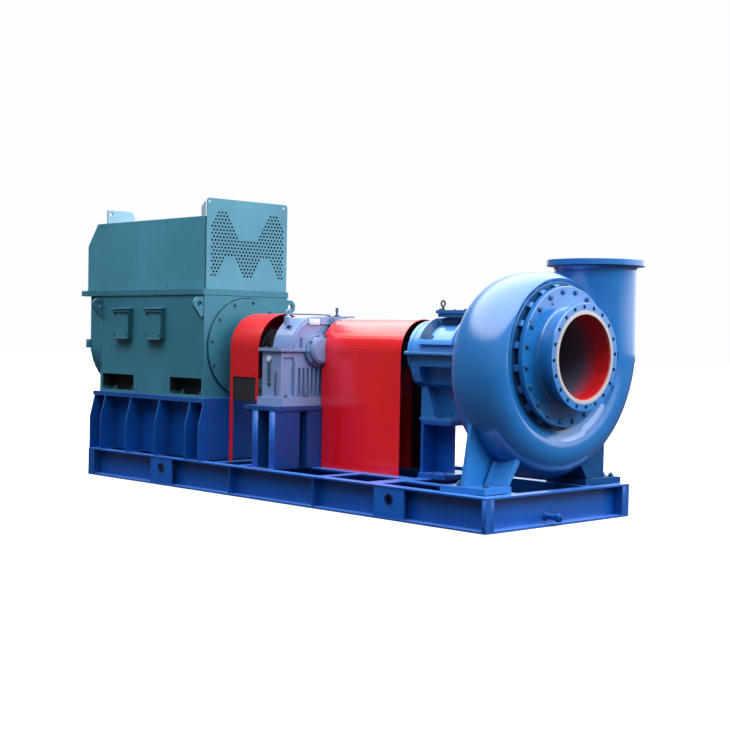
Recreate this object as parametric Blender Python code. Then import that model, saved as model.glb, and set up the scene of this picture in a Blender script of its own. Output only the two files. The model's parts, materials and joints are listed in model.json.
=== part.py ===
# Horizontal slurry pump set on a common base frame: electric motor with a top air cooler,
# parallel-shaft gearbox, bearing frame and a volute pump, seen from suction side.
# Metres. X runs along the shafts towards the suction flange, Y runs across, Z is up.
# Sizes below are measured from the floor, the pump shaft and the middle of the base frame.
# An empty then shifts everything so that the origin is under the middle of the whole set.

import math

import bmesh
import bpy
from mathutils import Vector

# Driving dimensions
GAP = 0.0003                # clearance kept between neighbouring pieces
BASE_LENGTH = 4.930
BASE_WIDTH = 1.690
BASE_HEIGHT = 0.250
FLANGE_WIDTH = 0.090        # rolled channels of the base frame
FLANGE_THICK = 0.014
WEB_THICK = 0.010
POST = 0.050                # corner posts of the base, across the set
POST_LONG = {-1: 0.092, 1: 0.040}   # the same along the set, at the motor end and the pump end
STIFFENER = 0.012           # ribs between the flanges of the long rails
SHAFT_Z = 1.228
MOTOR_Y = -0.295            # the gearbox offsets the motor from the pump axis
LIFT_HOLE = 0.045           # radius of the lifting holes in the base
LIFT_X = (-1.312, 1.520)    # middles of the lifting pads
LIFT_WIDTH = 0.310
LIFT_Z = 0.150

CROSS_GUARD_X = -0.690      # cross members, by the face that their web is on
CROSS_GEAR_X = -0.354
CROSS_MID_X = 0.680
CROSS_PUMP_X = 1.210
CROSS_PUMP_WIDTH = 0.150
GUARD_RAIL_Y = 0.370        # outer edge of the rails under the long guard
GUARD_RAIL_WIDTH = 0.130
PUMP_SEAT_Y = 0.490         # outer edge of the rails under the pump feet
MOTOR_SEAT_Y = 0.175

MOTOR_BED_Z = 0.789         # top of the motor pedestal
MOTOR_BED_PLATE = 0.040
MOTOR_BED_X = (-2.490, -0.777)
MOTOR_BED_HALF = 0.490
BED_FOOT_HALF = 0.542       # the ribs stand wider than the top plate
BED_KINK_Z = 0.548
BED_WALL_OUT = 0.355        # half distance between the long walls of the pedestal
RIB_X = (-2.283, -1.867, -1.422, -0.977)
PLATE = 0.016

BODY_X = (-2.396, -0.812)
BODY_HALF = 0.475
BODY_TOP = 1.685
LEDGE_X = -2.709            # the ledge under the cooler overhangs the fan end
LEDGE_Z = 1.735
COOLER_X = (-2.643, -0.812)
COOLER_HALF = 0.460
COOLER_TOP = 2.366
COOLER_CHAMFER = (0.160, 0.205)
PANEL_TOP = 2.522
PANEL_THICK = 0.020
EAR_TOP = 2.505
ENDSHIELD_R = 0.435
LUG_REACH = 0.105
LUG_Z = 1.605
LUG_THICK = 0.025
FAN_R = 0.436

GUARD1_X = (-0.655, -0.283)
GUARD1_R = 0.303
GUARD2_X = (0.149, 1.064)
GUARD2_R = 0.268
SHEET = 0.006

GEAR_X = (-0.130, 0.107)
GEAR_Y = (-0.680, 0.320)
GEAR_BED_Z = 0.765
PEDESTAL_X = (-0.245, 0.162)
GEAR_FOOT_TOP = 0.835
GEAR_FLANGE = 0.013         # half thickness of the joint flange
GEAR_RIM = 0.025            # how far the joint flange stands out
GEAR_DOME_R = 0.280
CAP_R = 0.135               # bearing cap of the input shaft
CAP_PROUD = 0.050

BEARING_X = (1.120, 1.640)
BEARING_R = 0.250
BEARING_BED_Z = 0.700
SADDLE_X = (1.245, 1.602)   # raised part of the barrel, with the windows and the lid
SADDLE_R = 0.283
LEG_TOP = 0.948             # underside of the barrel
RECESS = ((0.300, 1.125), (0.165, 1.125), (0.130, 0.990), (0.300, 0.990))   # hollow in its lower flank
RECESS_X = (1.242, 1.600)

CASE_X = 2.190              # middle plane of the volute and of the discharge pipe
CASE_HALF = 0.250           # half width of the spiral where it starts
CASE_INNER = 0.430          # inner radius of the hollow spiral
CASE_BACK = 1.870           # flat back of the casing, towards the bearing frame
CASE_START = 6              # angle in degrees at which the spiral leaves the discharge pipe
CASE_STEP = 6
CASE_SPREAD = ((0, 0.604), (30, 0.616), (60, 0.626), (90, 0.633), (120, 0.641), (150, 0.688),
               (180, 0.758), (210, 0.822), (270, 0.912), (300, 0.965), (330, 1.006),
               (360, 1.037))    # 90 on top, 180 on the near side
RIDGE = (2.447, 0.620)      # front edge of the casing round the suction cover
COLLAR = (2.410, 0.545)     # face that the suction cover is bolted to
PIPE_R = 0.317
PIPE_Y = 0.720
PIPE_SPLIT = 1.560          # where the spiral ends and the straight pipe begins
DISCHARGE_TOP = 1.970
DISCHARGE_FLANGE = 0.048
DISCHARGE_R = 0.377
DISCHARGE_BORE = 0.285
FLANGE_R = 0.390            # suction flange, nominal bore 600 mm
BORE_R = 0.303
RING_R = 0.338
EYE_X = 2.060               # bottom of the suction eye, which is modelled blind
COVER_BACK = 2.445
COVER_FRONT = 2.490
NECK_R = 0.352
COVER_R = 0.515
SUCTION_X = 2.646
RING_BACK = 2.638
RING_PROUD = 0.002
SUCTION_FLANGE = 0.044
CLEAR = 0.0008              # by which a cutter with the shape of the casing is larger
ROUND_STEPS = 60
ROUND_START = math.radians(1.7)     # keeps the facets of round pieces off those of the spiral

# Middle of the set: along it between ledge and suction ring, across it between lugs and discharge
MIDDLE_X = (LEDGE_X + SUCTION_X + RING_PROUD) / 2
NEAR_TIP = MOTOR_Y - BODY_HALF - GAP - LUG_REACH
FAR_TIP = PIPE_Y + DISCHARGE_R
MIDDLE_Y = (NEAR_TIP + FAR_TIP) / 2

BLUE = ("base_blue", (0.013, 0.071, 0.305), 0.45, 0.0)
PUMP_BLUE = ("pump_blue", (0.053, 0.205, 0.546), 0.25, 0.0)
TEAL = ("motor_green", (0.045, 0.156, 0.223), 0.50, 0.0)
RED = ("guard_red", (0.515, 0.010, 0.017), 0.30, 0.0)
LILAC = ("gearbox_grey", (0.188, 0.242, 0.485), 0.40, 0.0)
LINER = ("liner_red", (0.402, 0.007, 0.013), 0.50, 0.0)
PALE = ("ring_grey", (0.578, 0.546, 0.578), 0.40, 0.2)
STEEL = ("dark_steel", (0.060, 0.060, 0.070), 0.45, 0.9)


def clear_scene():
    for thing in list(bpy.data.objects):
        bpy.data.objects.remove(thing, do_unlink=True)


def material(finish):
    name, colour, roughness, metallic = finish
    if name in bpy.data.materials:
        return bpy.data.materials[name]
    made = bpy.data.materials.new(name)
    made.use_nodes = True
    shader = made.node_tree.nodes["Principled BSDF"]
    shader.inputs["Base Color"].default_value = (*colour, 1.0)
    shader.inputs["Roughness"].default_value = roughness
    shader.inputs["Metallic"].default_value = metallic
    made.diffuse_color = (*colour, 1.0)
    return made


def add(name, mesh_data, finish, smooth=False):
    bmesh.ops.recalc_face_normals(mesh_data, faces=mesh_data.faces)
    mesh = bpy.data.meshes.new(name)
    mesh_data.to_mesh(mesh)
    mesh_data.free()
    mesh.materials.append(material(finish))
    if smooth:
        mesh.shade_smooth()
        mesh.set_sharp_from_angle(angle=math.radians(35))
    made = bpy.data.objects.new(name, mesh)
    bpy.context.scene.collection.objects.link(made)
    return made


def box(name, x, y, z, finish):
    """A block from its extents along each axis."""
    data = bmesh.new()
    bmesh.ops.create_cube(data, size=1.0)
    for vert in data.verts:
        vert.co.x = x[0] if vert.co.x < 0 else x[1]
        vert.co.y = y[0] if vert.co.y < 0 else y[1]
        vert.co.z = z[0] if vert.co.z < 0 else z[1]
    return add(name, data, finish)


def prism(name, outline, axis, start, end, finish, smooth=False):
    """An outline pushed along X, Y or Z. Its points hold the other two coordinates in order."""
    place = {"X": lambda p, t: (t, p[0], p[1]),
             "Y": lambda p, t: (p[0], t, p[1]),
             "Z": lambda p, t: (p[0], p[1], t)}[axis]
    data = bmesh.new()
    low = [data.verts.new(place(point, start)) for point in outline]
    high = [data.verts.new(place(point, end)) for point in outline]
    data.faces.new(low)
    data.faces.new(high)
    count = len(outline)
    for i in range(count):
        j = (i + 1) % count
        data.faces.new((low[i], low[j], high[j], high[i]))
    return add(name, data, finish, smooth)


def turned(name, profile, centre, finish, axis="X", steps=48, first_angle=0.0):
    """A profile of (along, radius) points turned about an axis; a closed loop if it has a bore."""
    data = bmesh.new()
    rings = []
    for along, radius in profile:
        ring = []
        for k in range(steps if radius > 0 else 1):
            angle = 2 * math.pi * k / steps + first_angle
            side, rise = radius * math.cos(angle), radius * math.sin(angle)
            if axis == "X":
                spot = (along, centre[0] + side, centre[1] + rise)
            elif axis == "Y":
                spot = (centre[0] + side, along, centre[1] + rise)
            else:
                spot = (centre[0] + side, centre[1] + rise, along)
            ring.append(data.verts.new(spot))
        rings.append(ring)
    closed = profile[0][1] > 0
    for i in range(len(rings) if closed else len(rings) - 1):
        first, second = rings[i], rings[(i + 1) % len(rings)]
        for k in range(steps):
            j = (k + 1) % steps
            if len(first) == 1:
                data.faces.new((first[0], second[k], second[j]))
            elif len(second) == 1:
                data.faces.new((first[k], second[0], first[j]))
            else:
                data.faces.new((first[k], second[k], second[j], first[j]))
    return add(name, data, finish, smooth=True)


def helper(thing):
    """A cutter or an added shape, which isn't a piece of its own."""
    thing.hide_render = True
    thing.display_type = "WIRE"
    return thing


def combine(target, other, operation):
    step = target.modifiers.new(other.name, "BOOLEAN")
    step.operation = operation
    step.solver = "EXACT"
    step.use_self = operation == "UNION" and other.name == "casing_core"
    step.object = helper(other)
    return target


def cut(target, *others):
    for other in others:
        combine(target, other, "DIFFERENCE")
    return target


def join(target, *others):
    for other in others:
        combine(target, other, "UNION")
    return target


def arc(centre, radius, start, end, steps):
    """Points of an arc in the YZ plane, angles in degrees from +Y."""
    points = []
    for k in range(steps + 1):
        angle = math.radians(start + (end - start) * k / steps)
        points.append((centre[0] + radius * math.cos(angle), centre[1] + radius * math.sin(angle)))
    return points


def channel(open_to, back, low, high, width=FLANGE_WIDTH):
    """A channel section with its web on the line back, its flanges pointing to open_to (+1 or -1)."""
    tip = back + open_to * width
    web = back + open_to * WEB_THICK
    return [(back, low), (tip, low), (tip, low + FLANGE_THICK), (web, low + FLANGE_THICK),
            (web, high - FLANGE_THICK), (tip, high - FLANGE_THICK), (tip, high), (back, high)]


# Base frame

def base_frame():
    half_long, half_wide = BASE_LENGTH / 2, BASE_WIDTH / 2
    inner_y = half_wide - FLANGE_WIDTH
    for side, word in ((-1, "near"), (1, "far")):
        prism(f"base_rail_{word}", channel(side, side * inner_y, 0, BASE_HEIGHT), "X",
              -half_long, half_long, BLUE)
        rail = bpy.data.objects[f"base_rail_{word}"]
        rail_ribs(rail, side)
        for x, end in zip(LIFT_X, ("motor", "pump")):
            lifting_pad(f"lifting_pad_{word}_{end}", x, side)
    for side, word in ((-1, "motor"), (1, "pump")):
        inner_x = half_long - FLANGE_WIDTH
        prism(f"base_end_{word}", channel(side, side * inner_x, 0, BASE_HEIGHT), "Y",
              -(inner_y - GAP), inner_y - GAP, BLUE)
    clear = inner_y - GAP
    prism("base_cross_guard", channel(1, CROSS_GUARD_X, 0, BASE_HEIGHT), "Y", -clear, clear, BLUE)
    prism("base_cross_gearbox", channel(1, CROSS_GEAR_X, 0, BASE_HEIGHT), "Y", -clear, clear, BLUE)
    prism("base_cross_pump", channel(1, CROSS_PUMP_X, 0, BASE_HEIGHT, CROSS_PUMP_WIDTH), "Y",
          -clear, clear, BLUE)
    inner_rails(clear)
    drain_pipe(half_long)


def rail_ribs(rail, side):
    """Corner posts and web stiffeners between the flanges of a long rail."""
    half_long, half_wide = BASE_LENGTH / 2, BASE_WIDTH / 2
    sink = 0.004
    low, high = FLANGE_THICK - sink, BASE_HEIGHT - FLANGE_THICK + sink
    web = half_wide - FLANGE_WIDTH + WEB_THICK - sink
    for end in (-1, 1):
        post_x = sorted((end * half_long, end * (half_long - POST_LONG[end])))
        post = box(f"{rail.name}_post_{end}", post_x,
                   sorted((side * half_wide, side * (half_wide - POST))), (low, high), BLUE)
        join(rail, post)
    for x in (CROSS_GEAR_X, CROSS_MID_X):
        rib = box(f"{rail.name}_rib_{x:.2f}", (x - STIFFENER / 2, x + STIFFENER / 2),
                  sorted((side * web, side * (half_wide - 0.006))), (low, high), BLUE)
        join(rail, rib)


def lifting_pad(name, x, side):
    """A plate welded between the flanges of a rail, with a hole for the lifting pin."""
    half_wide = BASE_WIDTH / 2
    outer = half_wide - 0.004
    low, high = FLANGE_THICK + GAP, BASE_HEIGHT - FLANGE_THICK - GAP
    depth = sorted((side * outer, side * (outer - 0.020)))
    pad = box(name, (x - LIFT_WIDTH / 2, x + LIFT_WIDTH / 2), depth, (low, high), BLUE)
    hole = [(-0.1, 0.0), (-0.1, LIFT_HOLE), (0.1, LIFT_HOLE), (0.1, 0.0)]
    hole = [(side * half_wide + along, radius) for along, radius in hole]
    return cut(pad, turned(name + "_hole", hole, (x, LIFT_Z), BLUE, axis="Y", steps=20))


def inner_rails(clear):
    web_side = {-1: "near", 1: "far"}
    start = CROSS_GEAR_X + FLANGE_WIDTH + GAP
    for side, word in web_side.items():
        back = side * (GUARD_RAIL_Y - GUARD_RAIL_WIDTH)
        rail = prism(f"guard_rail_{word}", channel(side, back, 0, BASE_HEIGHT, GUARD_RAIL_WIDTH),
                     "X", start, CROSS_PUMP_X - GAP, BLUE)
        reach = sorted((side * (GUARD_RAIL_Y - 0.004), side * clear))
        join(rail, prism(f"{rail.name}_stub", channel(1, CROSS_MID_X, 0, BASE_HEIGHT), "Y",
                         *reach, BLUE))
        seat_back = side * (PUMP_SEAT_Y - FLANGE_WIDTH)
        prism(f"pump_seat_rail_{word}", channel(side, seat_back, 0, BASE_HEIGHT), "X",
              CROSS_PUMP_X + CROSS_PUMP_WIDTH + GAP, BASE_LENGTH / 2 - FLANGE_WIDTH - GAP, BLUE)
    prism("motor_seat_rail", channel(1, MOTOR_SEAT_Y, 0, BASE_HEIGHT), "X",
          -(BASE_LENGTH / 2 - FLANGE_WIDTH - GAP), CROSS_GUARD_X - GAP, BLUE)


def drain_pipe(half_long):
    """A short capped drain nipple, set in the web at the pump end."""
    face = half_long - FLANGE_WIDTH + WEB_THICK + GAP
    turned("drain_pipe", [(face, 0), (face, 0.030), (face + 0.012, 0.030), (face + 0.012, 0.021),
                          (half_long + 0.020, 0.021), (half_long + 0.020, 0.027),
                          (half_long + 0.060, 0.027), (half_long + 0.060, 0)],
           (-0.085, 0.062), BLUE, steps=16)


# Motor pedestal

def bed_outline(wide_half):
    low, high = BASE_HEIGHT + GAP, MOTOR_BED_Z - MOTOR_BED_PLATE - GAP
    return [(MOTOR_Y - BED_FOOT_HALF, low), (MOTOR_Y + BED_FOOT_HALF, low),
            (MOTOR_Y + BED_FOOT_HALF, BED_KINK_Z), (MOTOR_Y + wide_half, high),
            (MOTOR_Y - wide_half, high), (MOTOR_Y - BED_FOOT_HALF, BED_KINK_Z)]


def motor_pedestal():
    first, last = MOTOR_BED_X
    box("motor_bed_plate", MOTOR_BED_X, (MOTOR_Y - MOTOR_BED_HALF, MOTOR_Y + MOTOR_BED_HALF),
        (MOTOR_BED_Z - MOTOR_BED_PLATE, MOTOR_BED_Z), BLUE)
    base_end = -BASE_LENGTH / 2
    prism("motor_bed_end_motor", bed_outline(MOTOR_BED_HALF), "X", base_end, base_end + PLATE, BLUE)
    prism("motor_bed_end_gearbox", bed_outline(MOTOR_BED_HALF), "X", last - PLATE, last, BLUE)
    low, high = BASE_HEIGHT + GAP, MOTOR_BED_Z - MOTOR_BED_PLATE - GAP
    for side, word in ((-1, "near"), (1, "far")):
        wall_y = sorted((MOTOR_Y + side * BED_WALL_OUT, MOTOR_Y + side * (BED_WALL_OUT - PLATE)))
        wall = box(f"motor_bed_side_{word}", (base_end + PLATE + GAP, last - PLATE - GAP), wall_y,
                   (low, high), BLUE)
        for number, x in enumerate(RIB_X, 1):
            foot = MOTOR_Y + side * BED_FOOT_HALF
            root = MOTOR_Y + side * (BED_WALL_OUT - 0.002)
            tip = MOTOR_Y + side * MOTOR_BED_HALF
            rib = prism(f"{wall.name}_rib_{number}",
                        [(root, low), (foot, low), (foot, BED_KINK_Z), (tip, high), (root, high)],
                        "X", x - PLATE / 2, x + PLATE / 2, BLUE)
            join(wall, rib)


# Electric motor

def motor():
    near, far = MOTOR_Y - BODY_HALF, MOTOR_Y + BODY_HALF
    low = MOTOR_BED_Z + GAP
    body = box("motor_body", BODY_X, (near, far), (low, BODY_TOP), TEAL)
    for side, word in ((-1, "near"), (1, "far")):
        face = MOTOR_Y + side * BODY_HALF
        for number, span in enumerate(((-2.353, -1.850), (-1.296, -0.838)), 1):
            recess = box(f"foot_recess_{word}_{number}", span,
                         sorted((face + side * 0.05, face - side * 0.180)),
                         (low + 0.020, low + 0.169), TEAL)
            cut(body, recess)
    prism("motor_ledge", [(near - 0.012, BODY_TOP + GAP), (far + 0.012, BODY_TOP + GAP),
                          (far + 0.012, LEDGE_Z), (near - 0.012, LEDGE_Z)],
          "X", LEDGE_X, BODY_X[1], TEAL)
    motor_endshield()
    fan_housing()
    for number, x in enumerate((-2.003, -1.500), 1):
        motor_hatch(f"motor_hatch_{number}", x, near)
    for side, word in ((-1, "near"), (1, "far")):
        for x, end in ((BODY_X[0] + 0.003, "fan"), (BODY_X[1] - 0.033, "drive")):
            lifting_lug(f"motor_lug_{word}_{end}", x, side)


def motor_endshield():
    face = BODY_X[1] + GAP
    turned("motor_endshield", [(face, 0), (face, ENDSHIELD_R), (face + 0.022, ENDSHIELD_R),
                               (face + 0.022, 0.150), (face + 0.060, 0.120), (face + 0.060, 0)],
           (MOTOR_Y, SHAFT_Z), TEAL, steps=64)


def fan_housing():
    """The fan end: a drum below, carried up as a duct under the cooler."""
    outline = arc((MOTOR_Y, SHAFT_Z), FAN_R, 180, 360, 24)
    outline += [(MOTOR_Y + FAN_R, BODY_TOP), (MOTOR_Y - FAN_R, BODY_TOP)]
    prism("motor_fan_housing", outline, "X", COOLER_X[0] + 0.020, BODY_X[0] - GAP, TEAL, True)


def motor_hatch(name, x, face):
    """A bolted cover box with a sloping rain lip."""
    low, high = 1.293, 1.565
    out = face - GAP
    half = 0.126
    prism(name, [(out, low), (out, high), (out - 0.055, high - 0.012), (out - 0.055, high - 0.030),
                 (out - 0.040, high - 0.030), (out - 0.040, low)],
          "X", x - half, x + half, TEAL)


def lifting_lug(name, x, side):
    """A rounded plate with a hole, standing out from the body near its top."""
    face = MOTOR_Y + side * (BODY_HALF + GAP)
    middle, radius = LUG_Z, 0.060
    outline = [(face, middle - 0.110), (face + side * 0.030, middle - 0.110)]
    for angle in range(-60, 91, 15):
        turn = math.radians(angle)
        outline.append((face + side * (LUG_REACH - radius + radius * math.cos(turn)),
                        middle + radius * math.sin(turn)))
    outline += [(face, middle + radius)]
    lug = prism(name, outline, "X", x, x + LUG_THICK, TEAL)
    hole = turned(name + "_hole", [(x - 0.1, 0), (x - 0.1, 0.026), (x + 0.1, 0.026), (x + 0.1, 0)],
                  (face + side * (LUG_REACH - radius), middle), TEAL, steps=16)
    cut(lug, hole)


def cooler():
    near, far = MOTOR_Y - COOLER_HALF, MOTOR_Y + COOLER_HALF
    back, front = COOLER_X
    front -= PANEL_THICK + GAP
    low = LEDGE_Z + GAP
    run, drop = COOLER_CHAMFER
    prism("cooler_box", [(back, low), (front, low), (front, COOLER_TOP), (back + run, COOLER_TOP),
                         (back, COOLER_TOP - drop)], "Y", near, far, TEAL)
    panel = [(near, low), (far, low), (far, PANEL_TOP - 0.022), (far - 0.022, PANEL_TOP),
             (near + 0.022, PANEL_TOP), (near, PANEL_TOP - 0.022)]
    prism("cooler_outlet_panel", panel, "X", front + GAP, front + GAP + PANEL_THICK, TEAL)
    ear_low = COOLER_TOP + GAP
    ear_x = back + run + 0.020
    ear_y = (near + 0.086, near + 0.390)
    ear = prism("cooler_ear_plate", [(ear_y[0], ear_low), (ear_y[1], ear_low), (ear_y[1], ear_low + 0.090),
                                     (ear_y[1] - 0.012, ear_low + 0.119), (ear_y[1] - 0.040, EAR_TOP),
                                     (ear_y[0], EAR_TOP)], "X", ear_x, ear_x + PANEL_THICK, TEAL)
    cut(ear, turned("ear_hole", [(ear_x - 0.1, 0), (ear_x - 0.1, 0.018), (ear_x + 0.1, 0.018),
                                 (ear_x + 0.1, 0)], (ear_y[0] + 0.036, EAR_TOP - 0.036), TEAL, steps=16))


# Guards and couplings

def arch_guard(name, span, radius, axis_y):
    """Bent sheet: a half round over the shaft with straight legs down to the frame."""
    low = BASE_HEIGHT + GAP
    outline = [(axis_y + radius, low)] + arc((axis_y, SHAFT_Z), radius, 0, 180, 32)
    outline += [(axis_y - radius, low)]
    inner = radius - SHEET
    outline += [(axis_y - inner, low)] + arc((axis_y, SHAFT_Z), inner, 180, 0, 32)
    outline += [(axis_y + inner, low)]
    return prism(name, outline, "X", *span, RED, True)


def guards():
    first = arch_guard("coupling_guard_motor", GUARD1_X, GUARD1_R, MOTOR_Y)
    near = MOTOR_Y - GUARD1_R
    start = GUARD1_X[0]
    window = box("guard_window", (start + 0.037, GUARD1_X[1] - 0.032), (near - 0.1, near + 0.1),
                 (0.782, 0.985), RED)
    gearside = box("guard_leg_cut", (start + 0.041, 0.0), (near - 0.1, MOTOR_Y + 0.6), (0.1, 0.783), RED)
    cut(first, window, gearside)
    edge = GUARD1_R - SHEET / 2
    plate = prism("guard_end_plate", arc((MOTOR_Y, SHAFT_Z), edge, 0, 180, 32) + [
        (MOTOR_Y - edge, 0.960), (MOTOR_Y + edge, 0.960)], "X", start, start + SHEET, RED)
    hole = turned("guard_shaft_hole", [(start - 0.1, 0), (start - 0.1, 0.075), (start + 0.1, 0.075),
                                       (start + 0.1, 0)], (MOTOR_Y, SHAFT_Z), RED, steps=24)
    cut(join(first, plate), hole)
    second = arch_guard("coupling_guard_pump", GUARD2_X, GUARD2_R, 0.0)
    reach = GEAR_X[1] + GEAR_RIM + CAP_PROUD + 0.002
    notch = turned("guard_cap_notch", [(0.1, 0), (0.1, CAP_R + 0.002), (reach, CAP_R + 0.002), (reach, 0)],
                   (MOTOR_Y, SHAFT_Z), RED)
    legs = box("guard_leg_notch", (0.1, PEDESTAL_X[1] + GAP), (-0.3, 0.3), (0.2, GEAR_BED_Z + GAP), RED)
    cut(second, notch, legs)


def couplings():
    start = BODY_X[1] + GAP * 2 + 0.060
    end = GEAR_X[0] - GEAR_RIM - GAP
    turned("motor_coupling", [(start, 0), (start, 0.060), (-0.600, 0.060), (-0.600, 0.150),
                              (-0.470, 0.150), (-0.470, 0.170), (-0.400, 0.170), (-0.400, 0.150),
                              (-0.300, 0.150), (-0.300, 0.055), (end, 0.055), (end, 0)],
           (MOTOR_Y, SHAFT_Z), STEEL, steps=32)
    start = GEAR_X[1] + GEAR_RIM + GAP
    end = BEARING_X[0] - GAP
    turned("pump_coupling", [(start, 0), (start, 0.075), (0.300, 0.075), (0.300, 0.180),
                             (0.480, 0.180), (0.480, 0.205), (0.560, 0.205), (0.560, 0.180),
                             (0.740, 0.180), (0.740, 0.080), (end, 0.080), (end, 0)],
           (0.0, SHAFT_Z), STEEL, steps=32)


# Gearbox

def gearbox():
    joint_low = SHAFT_Z - GEAR_FLANGE
    lower = box("gearbox_lower", GEAR_X, GEAR_Y, (GEAR_BED_Z + GAP, SHAFT_Z - 0.004), LILAC)
    foot = box("gearbox_foot", (GEAR_X[0] - 0.040, GEAR_X[1] + 0.040),
               (GEAR_Y[0] - 0.020, GEAR_Y[1] + 0.020), (GEAR_BED_Z + GAP, GEAR_FOOT_TOP), LILAC)
    rim = box("gearbox_lower_rim", (GEAR_X[0] - GEAR_RIM, GEAR_X[1] + GEAR_RIM),
              (GEAR_Y[0] - GEAR_RIM, GEAR_Y[1] + GEAR_RIM), (joint_low, SHAFT_Z - GAP), LILAC)
    proud = (GEAR_X[1] - 0.020, GEAR_X[1] + GEAR_RIM - 0.002)
    seat = prism("gearbox_lower_seat", [(MOTOR_Y + y, z) for y, z in arc((0, SHAFT_Z - 0.004), CAP_R, 180, 360, 20)],
                 "X", *proud, LILAC)
    join(lower, foot, rim, seat)
    face = GEAR_X[1]
    panel = box("gearbox_panel_cut", (face - 0.014, face + 0.1), (-0.662, -0.540), (0.850, 1.165), LILAC)
    cut(lower, panel)
    for number in range(6):
        y = -0.500 + 0.048 * number
        groove = box(f"gearbox_groove_{number}", (face - 0.020, face + 0.1), (y, y + 0.026),
                     (0.850, 1.080), LILAC)
        cut(lower, groove)
    outline = arc((MOTOR_Y, SHAFT_Z), GEAR_DOME_R, 180, 90, 14)
    outline += arc((GEAR_Y[1] - 0.040 - GEAR_DOME_R, SHAFT_Z), GEAR_DOME_R, 90, 0, 14)
    upper = prism("gearbox_upper", outline, "X", GEAR_X[0] + 0.008, GEAR_X[1] - 0.008, LILAC, True)
    rim = box("gearbox_upper_rim", (GEAR_X[0] - GEAR_RIM, GEAR_X[1] + GEAR_RIM),
              (GEAR_Y[0] - GEAR_RIM, GEAR_Y[1] + GEAR_RIM), (SHAFT_Z, SHAFT_Z + GEAR_FLANGE), LILAC)
    boss = box("gearbox_upper_boss", (GEAR_X[1] - 0.020, GEAR_X[1] + 0.018),
               (MOTOR_Y - 0.170, MOTOR_Y + 0.170), (SHAFT_Z + 0.005, 1.335), LILAC)
    seat = prism("gearbox_upper_seat", [(MOTOR_Y + y, z) for y, z in arc((0, SHAFT_Z + 0.004), CAP_R, 0, 180, 20)],
                 "X", *proud, LILAC)
    join(upper, rim, boss, seat)


def gearbox_caps():
    """Bearing caps on the ends of both shafts."""
    pump_side = GEAR_X[1] + GEAR_RIM + GAP
    turned("gearbox_cap_input_end", [(pump_side, 0), (pump_side, CAP_R), (pump_side + 0.014, CAP_R),
                                     (pump_side + 0.014, 0.115), (pump_side + CAP_PROUD, 0.110),
                                     (pump_side + CAP_PROUD, 0)], (MOTOR_Y, SHAFT_Z), LILAC)


def gearbox_pedestal():
    low, high = BASE_HEIGHT + GAP, GEAR_BED_Z
    near = -0.780
    plate = box("gearbox_pedestal", PEDESTAL_X, (near, 0.380), (high - 0.036, high), BLUE)
    for x in (-0.136, 0.077):
        wall = box(f"gearbox_pedestal_wall_{x:.1f}", (x, x + 0.075), (near + 0.005, 0.370),
                   (low, high - 0.030), BLUE)
        slot = box(f"gearbox_pedestal_slot_{x:.1f}", (x - 0.01, x + 0.085), (-0.505, -0.423),
                   (low - 0.01, high - 0.045), BLUE)
        join(plate, cut(wall, slot))


# Bearing frame

def bearing_frame():
    """A split barrel round the bearings, with a raised saddle and window recesses, on narrow legs."""
    start, end = BEARING_X
    low = BEARING_BED_Z + GAP
    sole = low + 0.024
    upper = arc((0, SHAFT_Z), BEARING_R, 3, 177, 28)
    rim = BEARING_R + 0.032
    left = [(-rim, upper[-1][1]), (-rim, SHAFT_Z - 0.014), (-0.242, SHAFT_Z - 0.014), (-0.242, 1.118),
            (-0.234, 1.060), (-0.205, 1.000), (-0.160, 0.962), (-0.085, LEG_TOP),
            (-0.055, sole - 0.004)]
    outline = upper + left + [(-y, z) for y, z in reversed(left)]
    housing = prism("bearing_housing", outline, "X", start + 0.036, end, PUMP_BLUE, True)
    disc = turned("bearing_end_disc", [(start, 0), (start, BEARING_R + 0.004),
                                       (start + 0.040, BEARING_R + 0.004), (start + 0.040, 0)],
                  (0, SHAFT_Z), PUMP_BLUE, steps=56)
    saddle = prism("bearing_saddle", arc((0, SHAFT_Z), SADDLE_R, 14, 166, 28), "X", *SADDLE_X, PUMP_BLUE)
    leg_cut = box("bearing_leg_cut", (start + 0.041, 1.250), (-0.3, 0.3), (0.5, LEG_TOP - 0.001), PUMP_BLUE)
    back_cut = box("bearing_back_cut", (1.520, end + 0.1), (-0.3, 0.3), (0.5, LEG_TOP - 0.001), PUMP_BLUE)
    leg = prism("bearing_front_leg", [(1.200, sole - 0.003), (1.352, sole - 0.003), (1.268, LEG_TOP),
                                      (1.268, 0.985), (1.200, 0.985)], "Y", -0.165, 0.165, PUMP_BLUE)
    sole_plate = box("bearing_sole", (1.190, 1.528), (-0.172, 0.172), (low, sole), PUMP_BLUE)
    cut(housing, leg_cut, back_cut)
    join(housing, saddle, leg, sole_plate)
    for side in (-1, 1):
        recess = prism(f"bearing_recess_{side}", [(side * y, z) for y, z in RECESS], "X", *RECESS_X, PUMP_BLUE)
        cut(housing, bearing_window(side), recess)
    join(housing, disc)
    top = SHAFT_Z + SADDLE_R
    lid = box("bearing_lid", (1.300, 1.590), (-0.100, 0.100), (top + GAP, top + 0.034), PUMP_BLUE)
    join(lid, box("bearing_lid_plate", (1.287, 1.600), (-0.112, 0.112), (top + 0.029, top + 0.056),
                  PUMP_BLUE))
    bearing_pedestal()


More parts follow.
